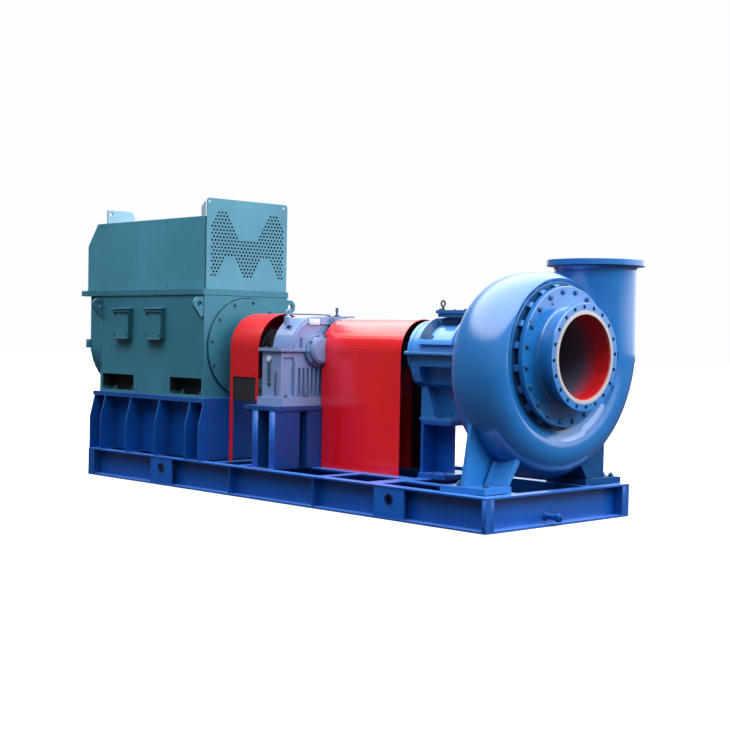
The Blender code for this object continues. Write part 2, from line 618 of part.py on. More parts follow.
def bearing_window(side):
    """Cutter for the recess in the flank of the saddle, with walls that slope in to a curved floor."""
    data = bmesh.new()
    steps = 10
    rings = []
    for k in range(steps + 1):
        ring = []
        for x, radius, low, high in ((1.244, 0.300, 21, 79), (1.592, 0.300, 21, 79),
                                     (1.560, 0.225, 28, 76), (1.300, 0.225, 28, 76)):
            angle = math.radians(low + (high - low) * k / steps)
            ring.append(data.verts.new((x, side * radius * math.cos(angle),
                                        SHAFT_Z + radius * math.sin(angle))))
        rings.append(ring)
    for first, second in zip(rings, rings[1:]):
        for i in range(4):
            j = (i + 1) % 4
            data.faces.new((first[i], first[j], second[j], second[i]))
    data.faces.new(rings[0])
    data.faces.new(rings[-1])
    return add("bearing_window_" + ("near" if side < 0 else "far"), data, PUMP_BLUE)


def bearing_pedestal():
    bed = box("bearing_pedestal", (1.212, 1.520), (-0.176, 0.176),
              (BEARING_BED_Z - 0.030, BEARING_BED_Z), BLUE)
    foot = box("bearing_pedestal_foot", (CROSS_PUMP_X + 0.002, 1.500), (-0.200, 0.200),
               (BASE_HEIGHT + GAP, BASE_HEIGHT + 0.040), BLUE)
    upright = box("bearing_pedestal_upright", (1.212, 1.240), (-0.176, 0.176),
                  (BASE_HEIGHT + 0.020, BEARING_BED_Z - 0.010), BLUE)
    rib = box("bearing_pedestal_rib", (1.230, 1.410), (-0.012, 0.012),
              (BASE_HEIGHT + 0.020, BEARING_BED_Z - 0.010), BLUE)
    join(bed, foot, upright, rib)


# Pump

def case_radius(angle):
    """Outer radius of the spiral at an angle in degrees, eased between the given angles."""
    for (a, ra), (b, rb) in zip(CASE_SPREAD, CASE_SPREAD[1:]):
        if angle <= b:
            return ra + (rb - ra) * (angle - a) / (b - a)
    return CASE_SPREAD[-1][1]


def smooth_radius(angle, reach=24):
    """Mean of the radius over some degrees either side, so that the spiral has no corners."""
    spots = [angle + reach * (k - 4) / 4 for k in range(9)]
    inside = [case_radius(spot) for spot in spots if 0 <= spot <= 360]
    bend = len(inside) == len(spots)
    return sum(inside) / len(inside) if bend else case_radius(angle)


def front_limit(radius):
    """How far forward the casing may reach near the suction cover, at a radius."""
    if radius >= RIDGE[1]:
        return RIDGE[0] + 0.1
    share = max(0.0, (radius - COLLAR[1]) / (RIDGE[1] - COLLAR[1]))
    return COLLAR[0] + (RIDGE[0] - COLLAR[0]) * share - 0.004


def case_ring(data, angle, rise, grow, steps=28):
    """One section of the casing, at an angle, or of the pipe at a height above the shaft."""
    outer = smooth_radius(angle) + grow
    blend = min(1.0, rise / (PIPE_SPLIT - SHAFT_Z))
    radial = (outer - CASE_INNER) / 2
    middle = (outer + CASE_INNER) / 2
    wide = CASE_HALF + grow + (PIPE_R - CASE_HALF) * max(0.0, (angle - 180) / 180) ** 2
    radial += (PIPE_R + grow - radial) * blend
    middle += (PIPE_Y - middle) * blend
    turn = math.radians(angle)
    ring = []
    for k in range(steps):
        around = 2 * math.pi * k / steps
        up, front = math.cos(around), math.sin(around)
        reach = middle + radial * up
        along = CASE_X + wide * front
        if rise == 0:
            along = min(along, front_limit(reach))
        ring.append(data.verts.new((along, reach * math.cos(turn), SHAFT_Z + reach * math.sin(turn) + rise)))
    return ring


def volute(name="pump_casing", grow=0.0, neck=True):
    """The spiral of the casing, run up to where the straight discharge pipe begins."""
    data = bmesh.new()
    rings = [case_ring(data, angle, 0, grow) for angle in range(CASE_START, 361, CASE_STEP)]
    top = PIPE_SPLIT - GAP - SHAFT_Z
    if neck:
        rings += [case_ring(data, 360, top * share, grow) for share in (0.25, 0.5, 0.75, 1.0)]
    for first, second in zip(rings, rings[1:]):
        for k in range(len(first)):
            j = (k + 1) % len(first)
            data.faces.new((first[k], first[j], second[j], second[k]))
    data.faces.new(rings[0])
    data.faces.new(rings[-1])
    return add(name, data, PUMP_BLUE, smooth=True)


def pump():
    casing = volute()
    eye = RING_R + GAP
    core = turned("casing_core", [(CASE_BACK, 0), (CASE_BACK, 0.460), (2.300, 0.575),
                                  (2.385, 0.557), (COLLAR[0], COLLAR[1]), (COLLAR[0], eye),
                                  (EYE_X, eye), (EYE_X, 0)],
                  (0, SHAFT_Z), PUMP_BLUE, steps=ROUND_STEPS, first_angle=ROUND_START)
    join(casing, core)
    depth = PIPE_SPLIT - 0.190
    bore = turned("discharge_bore", [(depth, 0), (depth, DISCHARGE_BORE), (DISCHARGE_TOP, DISCHARGE_BORE),
                                     (DISCHARGE_TOP, 0)],
                  (CASE_X, PIPE_Y), PUMP_BLUE, axis="Z", steps=44)
    cut(casing, bore)
    discharge_pipe()
    gland()
    pump_feet()
    suction_side()


def discharge_pipe():
    low, flange = PIPE_SPLIT, DISCHARGE_TOP - DISCHARGE_FLANGE
    pipe = turned("discharge_pipe", [(low, PIPE_R), (flange - 0.026, PIPE_R), (flange - 0.008, PIPE_R + 0.006),
                              (flange, PIPE_R + 0.022),
                              (flange, DISCHARGE_R), (DISCHARGE_TOP, DISCHARGE_R),
                              (DISCHARGE_TOP, DISCHARGE_BORE), (low, DISCHARGE_BORE)],
                  (CASE_X, PIPE_Y), PUMP_BLUE, axis="Z", steps=56)
    core = turned("pipe_core_clearance", [(CASE_BACK - CLEAR, 0), (CASE_BACK - CLEAR, 0.460 + CLEAR),
                                          (2.300, 0.575 + CLEAR), (2.385, 0.557 + CLEAR),
                                          (2.455, 0.550), (2.455, 0)],
                  (0, SHAFT_Z), PUMP_BLUE, steps=ROUND_STEPS, first_angle=ROUND_START)
    cut(pipe, volute("pipe_clearance", grow=CLEAR, neck=False), core)


def gland():
    """Stuffing box and shaft sleeve between the bearing frame and the back of the casing."""
    start, end = BEARING_X[1] + GAP, CASE_BACK - GAP
    turned("shaft_gland", [(start, 0), (start, 0.200), (start + 0.025, 0.200), (start + 0.025, 0.150),
                           (end - 0.060, 0.150), (end - 0.060, 0.260), (end, 0.260), (end, 0)],
           (0, SHAFT_Z), PUMP_BLUE)


def pump_feet():
    """Cast feet: a foot plate with a cross web, a leaning wall and a rib, on both sides."""
    low = BASE_HEIGHT + GAP
    top = BASE_HEIGHT + 0.047
    sink = top - 0.006
    plates = {"near": ((2.352, 0.440), (2.356, 0.735), (1.977, 0.785)),
              "far": ((2.352, 0.440), (2.372, 0.862), (1.977, 0.862))}
    # Upright pieces as start and end along X, then an outline across the set
    web = (2.140, 2.170, [(0.752, sink), (0.675, 0.735), (0.560, 0.735), (0.430, 0.600), (0.400, 0.470),
                          (0.450, sink)])
    wall = (2.010, 2.348, [(0.520, sink), (0.385, 0.505), (0.340, 0.505), (0.340, 0.470), (0.465, sink)])
    rib = (2.190, 2.212, [(0.556, sink), (0.455, 0.470), (0.395, 0.470), (0.480, sink)])
    outer = (2.286, 2.316, [(0.715, sink), (0.715, 0.620), (0.450, 0.620), (0.465, 0.500), (0.520, sink)])
    for side, word, last in ((-1, "near", rib), (1, "far", outer)):
        outline = [(x, side * y) for x, y in ((1.977, 0.440), *plates[word])]
        foot = prism(f"pump_foot_{word}", outline, "Z", low, top, PUMP_BLUE)
        for number, (start, end, outline) in enumerate((web, wall, last), 1):
            outline = [(side * y, z) for y, z in outline]
            join(foot, prism(f"foot_upright_{word}_{number}", outline, "X", start, end, PUMP_BLUE))
        cut(foot, volute(f"foot_clearance_{word}", grow=CLEAR))


def suction_side():
    neck = COVER_FRONT + 0.014
    back = SUCTION_X - SUCTION_FLANGE
    turned("suction_cover", [(COLLAR[0] + GAP, RING_R), (COLLAR[0] + GAP, 0.460), (COVER_BACK, 0.460),
                             (COVER_BACK, COVER_R), (COVER_FRONT, COVER_R), (COVER_FRONT, 0.372),
                             (neck, NECK_R), (back - 0.006, NECK_R), (back, NECK_R + 0.008),
                             (back + 0.002, FLANGE_R - 0.014), (back + 0.014, FLANGE_R),
                             (SUCTION_X, FLANGE_R), (SUCTION_X, RING_R)],
           (0, SHAFT_Z), PUMP_BLUE, steps=ROUND_STEPS, first_angle=ROUND_START)
    turned("suction_liner", [(2.150, BORE_R), (2.150, RING_R - GAP), (RING_BACK, RING_R - GAP),
                             (RING_BACK, BORE_R)], (0, SHAFT_Z), LINER, steps=ROUND_STEPS, first_angle=ROUND_START)
    turned("suction_ring", [(RING_BACK + GAP, BORE_R), (RING_BACK + GAP, RING_R - GAP),
                            (SUCTION_X + RING_PROUD, RING_R - GAP), (SUCTION_X + RING_PROUD, BORE_R)],
           (0, SHAFT_Z), PALE, steps=ROUND_STEPS, first_angle=ROUND_START)
    turned("impeller_eye", [(EYE_X + GAP, 0), (EYE_X + GAP, 0.285), (2.090, 0.285), (2.110, 0.100),
                            (2.190, 0.060), (2.200, 0)], (0, SHAFT_Z), STEEL, steps=32)


def centre_on_origin():
    """Carry every piece and helper on one empty, moved by the offset of the set's middle."""
    carrier = bpy.data.objects.new("pump_set", None)
    bpy.context.scene.collection.objects.link(carrier)
    for thing in bpy.context.scene.objects:
        if thing is not carrier:
            thing.parent = carrier
    carrier.location = (-MIDDLE_X, -MIDDLE_Y, 0)


def build():
    clear_scene()
    base_frame()
    motor_pedestal()
    motor()
    cooler()
    guards()
    couplings()
    gearbox()
    gearbox_caps()
    gearbox_pedestal()
    bearing_frame()
    pump()
    centre_on_origin()


build()
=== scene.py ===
# Looks of a slurry pump set: paints, holes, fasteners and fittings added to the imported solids,
# with a plain studio round them. Laid out as an add-on, and run as a script.
# Places are in metres: along the set from the middle of the base frame, across it from the pump
# shaft, and up from the floor.

import json
from itertools import product
from math import cos, pi, radians, sin, sqrt

import bmesh
import bpy
from bpy.props import FloatProperty, FloatVectorProperty, IntProperty, PointerProperty
from mathutils import Matrix, Vector
from mathutils.geometry import delaunay_2d_cdt


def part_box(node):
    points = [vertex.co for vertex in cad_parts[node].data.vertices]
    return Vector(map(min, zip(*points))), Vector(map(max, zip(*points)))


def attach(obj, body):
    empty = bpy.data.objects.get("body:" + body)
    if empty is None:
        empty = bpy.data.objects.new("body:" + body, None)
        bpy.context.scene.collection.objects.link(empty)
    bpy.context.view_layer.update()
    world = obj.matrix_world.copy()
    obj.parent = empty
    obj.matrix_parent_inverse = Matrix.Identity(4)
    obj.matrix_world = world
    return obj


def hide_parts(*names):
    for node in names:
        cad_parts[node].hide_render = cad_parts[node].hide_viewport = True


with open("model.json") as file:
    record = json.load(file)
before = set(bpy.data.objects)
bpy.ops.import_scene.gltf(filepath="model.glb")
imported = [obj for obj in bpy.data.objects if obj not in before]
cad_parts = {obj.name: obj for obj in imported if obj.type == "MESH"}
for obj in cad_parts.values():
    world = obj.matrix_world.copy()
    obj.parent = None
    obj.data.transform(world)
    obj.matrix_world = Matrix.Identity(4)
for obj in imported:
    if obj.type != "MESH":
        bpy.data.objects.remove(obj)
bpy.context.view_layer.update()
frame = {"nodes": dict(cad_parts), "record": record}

bl_info = {
    "name": "Slurry pump set looks",
    "version": (1, 0, 0),
    "blender": (4, 5, 0),
    "location": "View3D > Sidebar > Pump set",
    "description": "Paints, fasteners and fittings for a slurry pump set, and a studio to show it in",
    "category": "Object",
}

RING_LOW, RING_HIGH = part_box("suction_ring")
RAIL_LOW, RAIL_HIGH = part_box("base_rail_near")
SHIFT = Vector(((RAIL_LOW.x + RAIL_HIGH.x) / 2, (RING_LOW.y + RING_HIGH.y) / 2, 0))
SHAFT_Z = (RING_LOW.z + RING_HIGH.z) / 2
PUMP_AXIS = (0, 0, SHAFT_Z)
MOTOR_Y = -0.295
BODY_HALF = 0.475                      # half the width of the motor's body
BODY_NEAR = MOTOR_Y - BODY_HALF
DRIVE_FACE, FAN_FACE = -0.812, -2.623  # ends of the motor's body
GEAR_FACE = 0.107                      # end of the gearbox that looks at the pump
COVER_FACE = 2.49                      # front of the suction cover
DECK = 0.25                            # top of the base frame
SIDES = (-1, 1)                        # near and far
X, Y, Z = Vector((1, 0, 0)), Vector((0, 1, 0)), Vector((0, 0, 1))


# Sizes and colours that a user would change

RGB = {"size": 3, "min": 0, "max": 1}      # limits that all colours share


class PumpSetPaint(bpy.types.PropertyGroup):
    base: FloatVectorProperty(
        name="Base frame blue", description="Paint of the base frame and pedestals",
        default=(0.001, 0.066, 0.312), subtype="COLOR", **RGB)
    pump: FloatVectorProperty(
        name="Pump blue", description="Gloss paint of the pump and its bearing frame",
        default=(0.009, 0.138, 0.43), subtype="COLOR", **RGB)
    motor: FloatVectorProperty(
        name="Motor green", description="Satin paint of the motor and its cooler",
        default=(0.028, 0.165, 0.24), subtype="COLOR", **RGB)
    guard: FloatVectorProperty(
        name="Guard red", description="Gloss paint of the coupling guards",
        default=(0.74, 0.004, 0.008), subtype="COLOR", **RGB)
    gearbox: FloatVectorProperty(
        name="Gearbox lilac", description="Paint of the gearbox",
        default=(0.18, 0.275, 0.52), subtype="COLOR", **RGB)
    liner: FloatVectorProperty(
        name="Liner red", description="Colour of the liner inside the suction",
        default=(0.48, 0.008, 0.012), subtype="COLOR", **RGB)
    ring: FloatVectorProperty(
        name="Ring grey", description="Colour of the sealing ring at the suction",
        default=(0.38, 0.36, 0.375), subtype="COLOR", **RGB)
    wear: FloatProperty(
        name="Edge wear", description="How far the paint is rubbed pale along its edges",
        default=0.22, min=0, max=1, subtype="FACTOR")
    dust: FloatProperty(
        name="Dust", description="How much dust lies on faces that look up",
        default=0.12, min=0, max=1, subtype="FACTOR")


class PumpSetSizes(bpy.types.PropertyGroup):
    hole_pitch: FloatProperty(
        name="Grille pitch", description="Distance between holes of the grille",
        default=0.0365, min=0.02, unit="LENGTH")
    hole_across: FloatProperty(
        name="Grille hole", description="Diameter of the holes of the grille",
        default=0.0215, min=0.005, unit="LENGTH")
    flange_bolts: IntProperty(
        name="Flange holes", description="Number of bolt holes in each pipe flange",
        default=20, min=4)
    flange_circle: FloatProperty(
        name="Flange bolt circle", description="Radius of the suction bolt circle",
        default=0.3625, unit="LENGTH")
    cover_circle: FloatProperty(
        name="Cover bolt circle", description="Radius of the cover's bolt circle",
        default=0.474, unit="LENGTH")
    sun: FloatProperty(name="Key light", description="Strength of the soft key light", default=1.8, min=0)
    sky: FloatProperty(name="Sky", description="Strength of the bright part of the sky", default=3.9, min=0)
    bounce: FloatProperty(
        name="Floor bounce", description="Share of the light that the floor throws back",
        default=0.045, min=0, max=1)
    horizon: FloatProperty(
        name="Horizon", description="Strength of the sky near the horizon",
        default=0.16, min=0)
    backdrop: FloatProperty(
        name="Backdrop", description="Strength of the low sky behind the set",
        default=1.5, min=0)
    floor: FloatVectorProperty(
        name="Floor", description="Colour of the studio floor",
        default=(0.72, 0.72, 0.73), subtype="COLOR", **RGB)


# Shader maths

def feed(socket, value):
    """Link a wire to a socket, or set the socket's own value."""
    if isinstance(value, Wire):
        value.socket.id_data.links.new(value.socket, socket)
    else:
        socket.default_value = value


class Wire:
    """An output of a node. Arithmetic on it adds Math nodes to the same material."""

    def __init__(self, socket):
        self.socket = socket

    def maths(self, operation, *values):
        node = self.socket.id_data.nodes.new("ShaderNodeMath")
        node.operation = operation
        for socket, value in zip(node.inputs, values):
            feed(socket, value)
        return Wire(node.outputs[0])

    def __add__(self, other):
        return self.maths("ADD", self, other)

    def __sub__(self, other):
        return self.maths("SUBTRACT", self, other)

    def __rsub__(self, other):
        return self.maths("SUBTRACT", other, self)

    def __mul__(self, other):
        return self.maths("MULTIPLY", self, other)

    def __truediv__(self, other):
        return self.maths("DIVIDE", self, other)

    __radd__ = __add__
    __rmul__ = __mul__

    def held(self, low=0.0, high=1.0):
        """The value kept between two limits."""
        return self.maths("MAXIMUM", self.maths("MINIMUM", self, high), low)

    def rise(self, start, end):
        """0 at start and 1 at end, straight between them."""
        return ((self - start) / (end - start)).held()


class Finish:
    """A material while it is being made."""

    def __init__(self, name):
        self.material = bpy.data.materials.new(name)
        self.material.use_nodes = True
        self.shader = self.material.node_tree.nodes["Principled BSDF"]

    def node(self, kind, settings=None, sockets=None, output=0):
        """Add a node of any kind but Math: its settings first, then the values or links of its sockets."""
        made = self.material.node_tree.nodes.new("ShaderNode" + kind)
        for key, value in (settings or {}).items():
            setattr(made, key, value)
        for key, value in (sockets or {}).items():
            feed(made.inputs[key], value)
        return Wire(made.outputs[output])

    def place(self):
        return self.node("TexCoord", output="Object")

    def noise(self, scale, detail=2.0, place=None):
        return self.node("TexNoise", None, {"Vector": place or self.place(), "Scale": scale,
                                            "Detail": detail, "Roughness": 0.55}, "Fac")

    def part(self, vector, axis):
        return self.node("SeparateXYZ", None, {0: vector}, axis)

    def mix(self, first, second, share):
        return self.node("Mix", {"data_type": "RGBA"}, {0: share, 6: first, 7: second}, 2)

    def set(self, **values):
        for key, value in values.items():
            feed(self.shader.inputs[key.replace("_", " ")], value)
        return self.material


def tint(colour, factor, towards=(1, 1, 1), share=0.0):
    """A colour scaled and drawn towards another, worked out in Python."""
    return tuple(min(1.0, c * factor * (1 - share) + t * share) for c, t in zip(colour, towards)) + (1.0,)


PRIMER = (0.62, 0.68, 0.74)    # shows where paint is rubbed
DUST = (0.3, 0.3, 0.29, 1.0)
RUST = (0.1, 0.045, 0.025, 1.0)


def worn_paint(name, colour, roughness, coat=0.0, cast=0.0, edge=0.005, depth=1.0, lift=0.0, fade=None,
               shine=0.5):
    """Paint with slow shifts of tone, pale rubbed edges, dust on top and the texture of its surface, with
    painted shade on faces that look down; if asked, painted light on faces that look up and above a height.
    """
    look = bpy.context.scene.pump_set_paint
    made = Finish(name)
    place = made.place()
    broad = made.noise(1.1, 3.0, place)
    fine = made.noise(16.0, 4.0, place)
    tone = (broad * 0.75 + fine * 0.25).rise(0.35, 0.65)
    base = made.mix(tint(colour, 1 - 0.16 * depth), tint(colour, 1 + 0.14 * depth), tone)

    rounded = made.node("Bevel", {"samples": 3}, {"Radius": edge})
    plain = made.node("NewGeometry", None, None, "Normal")
    bend = 1 - made.node("VectorMath", {"operation": "DOT_PRODUCT"}, {0: rounded, 1: plain}, "Value")
    chips = made.noise(34.0, 3.0, place).rise(0.42, 0.62)
    rubbed = ((bend * 7.0).held() * (0.35 + chips * 0.65) * look.wear).held()
    base = made.mix(base, tint(colour, 1.25, PRIMER, 0.42), rubbed)

    # Faces that look down are painted darker: painted shade.
    painted_underside_shade = made.part(plain, "Z").rise(-0.1, -0.8)
    base = made.mix(base, tint(colour, 0.55), painted_underside_shade * 0.75)
    up = made.part(plain, "Z").rise(0.75, 1.0)
    # Above a height the paint is lighter and bluer: painted light.
    if fade:
        painted_above_mask = made.part(place, "Z").rise(fade, fade + 0.06)
        base = made.mix(base, tint(colour, 1.7, (0.35, 0.6, 0.9), 0.12), painted_above_mask)
    # Faces that look up are painted lighter and bluer: painted light from the sky.
    if lift:
        base = made.mix(base, tint(colour, 2.6, (0.3, 0.5, 0.8), 0.12), up * lift)
    settled = up * made.noise(5.0, 4.0, place).rise(0.3, 0.72) * look.dust
    base = made.mix(base, DUST, settled)

    peel = made.noise(150.0, 1.0, place)
    grain = made.noise(46.0, 5.0, place)
    height = peel * 0.25 + grain * cast
    bump = made.node("Bump", None, {"Strength": 0.22, "Distance": 0.0012, "Height": height,
                                    "Normal": rounded})
    rough = (roughness + (fine - 0.5) * 0.16 + settled * 0.45 + rubbed * 0.1).held(0.05, 1.0)
    made.shader.inputs["Specular IOR Level"].default_value = shine - 0.38 * coat
    return made.set(Base_Color=base, Roughness=rough, Coat_Weight=coat, Coat_Roughness=0.16, Coat_IOR=1.75,
                    Normal=bump)


def bare_metal(name, colour, roughness, metallic=0.9):
    """Steel with turned or rolled grain and spots of rust."""
    made = Finish(name)
    place = made.place()
    grain = made.noise(90.0, 4.0, place)
    spots = made.noise(9.0, 6.0, place).rise(0.56, 0.72)
    base = made.mix(tint(colour, 0.8), tint(colour, 1.25), grain)
    base = made.mix(base, RUST, spots * 0.35)
    bump = made.node("Bump", None, {"Strength": 0.25, "Distance": 0.0008, "Height": grain})
    rough = (roughness + (grain - 0.5) * 0.25 + spots * 0.2).held(0.1, 1.0)
    return made.set(Base_Color=base, Roughness=rough, Metallic=(metallic - spots * 0.5).held(), Normal=bump)


def bore_rubber(name, colour):
    """The liner: red where light reaches it near the flange, and painted dark further in as painted shade."""
    made = Finish(name)
    place = made.place()
    along = made.part(place, "X")
    front = SHIFT.x + 2.6
    lit = along.rise(front - 0.215, front - 0.06)
    streaks = made.noise(24.0, 3.0, place)
    base = made.mix(tint(colour, 0.75), tint(colour, 1.15), streaks.rise(0.35, 0.65))
    # Deeper in, the red gives way to dark blue-black: painted shade.
    base = made.mix((0.085, 0.09, 0.15, 1.0), base, lit)
    bump = made.node("Bump", None, {"Strength": 0.2, "Distance": 0.001, "Height": streaks})
    return made.set(Base_Color=base, Roughness=(0.62 - lit * 0.18).held(), Normal=bump)


# Near-black: painted shade in holes, recesses and gaps, and the colour of dark seams.
def shade_black_finish(name):
    made = Finish(name)
    rough = made.noise(30.0, 2.0)
    return made.set(Base_Color=made.mix((0.004, 0.005, 0.008, 1.0), (0.01, 0.011, 0.016, 1.0), rough),
                    Roughness=0.85)


def clear_glass(name):
    made = Finish(name)
    fog = made.noise(40.0, 2.0)
    return made.set(Base_Color=made.mix((0.55, 0.6, 0.62, 1.0), (0.75, 0.78, 0.8, 1.0), fog),
                    Roughness=0.12, Coat_Weight=0.6, Coat_Roughness=0.05)


def named_finish(name):
    """The finish of that name, made the first time that it is asked for."""
    look = bpy.context.scene.pump_set_paint
    if name in bpy.data.materials:
        return bpy.data.materials[name]

    def paint(colour, factor, *how, pale=(), **more):
        return lambda: worn_paint(name, tint(colour, factor, *pale)[:3], *how, **more)

    recipes = {
        # The frame paint is painted lighter on faces that look up: painted light.
        "frame_paint": paint(look.base, 1, 0.38, 0.32, lift=0.9),
        # A lighter copy of the frame paint: painted light on the lifting pads.
        "pad_paint_lit": paint(look.base, 1.35, 0.38, 0.32),
        "shaded_frame": paint(look.base, 0.72, 0.42, 0.1),
        # A much lighter copy of the frame paint: painted highlights on plate edges.
        "frame_edge_highlight": paint(look.base, 1.6, 0.38, 0.32),
        "pump_paint": paint(look.pump, 1, 0.4, 1.0, 0.35, 0.007, 0.8),
        # The bearing paint is painted lighter above the shaft: painted light on the upper half.
        "bearing_paint": paint(look.pump, 1, 0.4, 0.8, 0.35, 0.007, 0.8, fade=SHAFT_Z - 0.02),
        "pump_dull": paint(look.pump, 1.0, 0.5, 0.25, 0.35, 0.006, 0.8),
        # A darker copy of the pump paint: painted shade on the far foot.
        "pump_far_shade": paint(look.pump, 0.36, 0.6, 0.0, 0.2, 0.003, shine=0.12),
        "pump_shade": paint(look.pump, 0.4, 0.5, 0.15, 0.2, 0.003),
        # A slightly lighter copy of the pump paint: painted highlight on the cover's lugs.
        "pump_highlight": paint(look.pump, 1.05, 0.45, 0.4),
        # The fastener paints are darker copies of their paints: painted shade on bolts, lips, pipes and small
        # fittings.
        "pump_fastener_shaded": paint(look.pump, 0.5, 0.42, 0.2, 0.0, 0.002),
        "motor_paint": paint(look.motor, 1, 0.46, 0.05),
        # A lighter copy of the motor paint: painted light on the cooler.
        "cooler_paint_lit": paint(look.motor, 1.45, 0.44, 0.05, pale=((0.6, 0.7, 0.8), 0.02)),
        "panel_paint": paint(look.motor, 1.35, 0.44, 0.1, pale=((0.5, 0.6, 0.6), 0.07)),
        "pale_plate": paint(look.motor, 1.5, 0.42, 0.1, pale=((0.6, 0.75, 0.85), 0.45)),
        # A darker copy of the motor paint: painted shade on bolts and hatch lips.
        "motor_fastener_shaded": paint(look.motor, 0.45, 0.45, 0.0, 0.0, 0.002),
        "guard_paint": paint(look.guard, 1, 0.36, 1.0, 0.0, 0.004, 0.6),
        "guard_dull": paint(look.guard, 0.82, 0.45, 0.3, 0.0, 0.004, 0.6),
        "gearbox_paint": paint(look.gearbox, 1, 0.4, 0.9, 0.4),
        "pale_cover": paint(look.gearbox, 1.6, 0.35, 0.5, pale=((0.8, 0.85, 0.9), 0.5)),
        # A darker copy of the gearbox paint: painted shade on bolts, pipes and the gauge.
        "gearbox_fastener_shaded": paint(look.gearbox, 0.35, 0.42, 0.0, 0.0, 0.002),
        "ring_face": paint(look.ring, 1, 0.38, 0.2, 0.0, 0.002),
        "liner": lambda: bore_rubber(name, look.liner),
        "zinc": lambda: bare_metal(name, (0.5, 0.51, 0.53), 0.38),
        "dark_steel": lambda: bare_metal(name, (0.055, 0.055, 0.062), 0.48),
        "wet_iron": lambda: bare_metal(name, (0.11, 0.105, 0.15), 0.42, 0.3),
        # Near-black red: painted shade inside the guards.
        "guard_inside_shade": paint((0.018, 0.006, 0.012), 1, 0.6),
        # Near-black: painted shade, and dark seams.
        "painted_shade_black": lambda: shade_black_finish(name),
        "sight_glass": lambda: clear_glass(name),
    }
    return recipes[name]()


# Mesh making

def turned_to(axis):
    """Matrix that carries Z to an axis."""
    return axis.to_track_quat("Z", "Y").to_matrix().to_4x4()


def turns(count, first=0.0):
    """Angles spaced evenly round a whole turn, from a first one."""
    return [first + 2 * pi * k / count for k in range(count)]


def arc(across, up, radius, angles):
    """Points of a circle at the given angles."""
    return [(across + radius * cos(t), up + radius * sin(t)) for t in angles]


def smoothed(data):
    """Shade a mesh smooth, but keep its edges sharp."""
    data.shade_smooth()
    data.set_sharp_from_angle(angle=radians(32))


def placed(name, data, stands_for):
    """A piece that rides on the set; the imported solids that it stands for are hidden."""
    piece = bpy.data.objects.new(name, data)
    bpy.context.scene.collection.objects.link(piece)
    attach(piece, "root")
    if stands_for:
        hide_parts(*stands_for)
    return piece


def box_of(node):
    """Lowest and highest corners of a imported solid, from the middle of the base frame."""
    low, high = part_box(node)
    return low - SHIFT, high - SHIFT


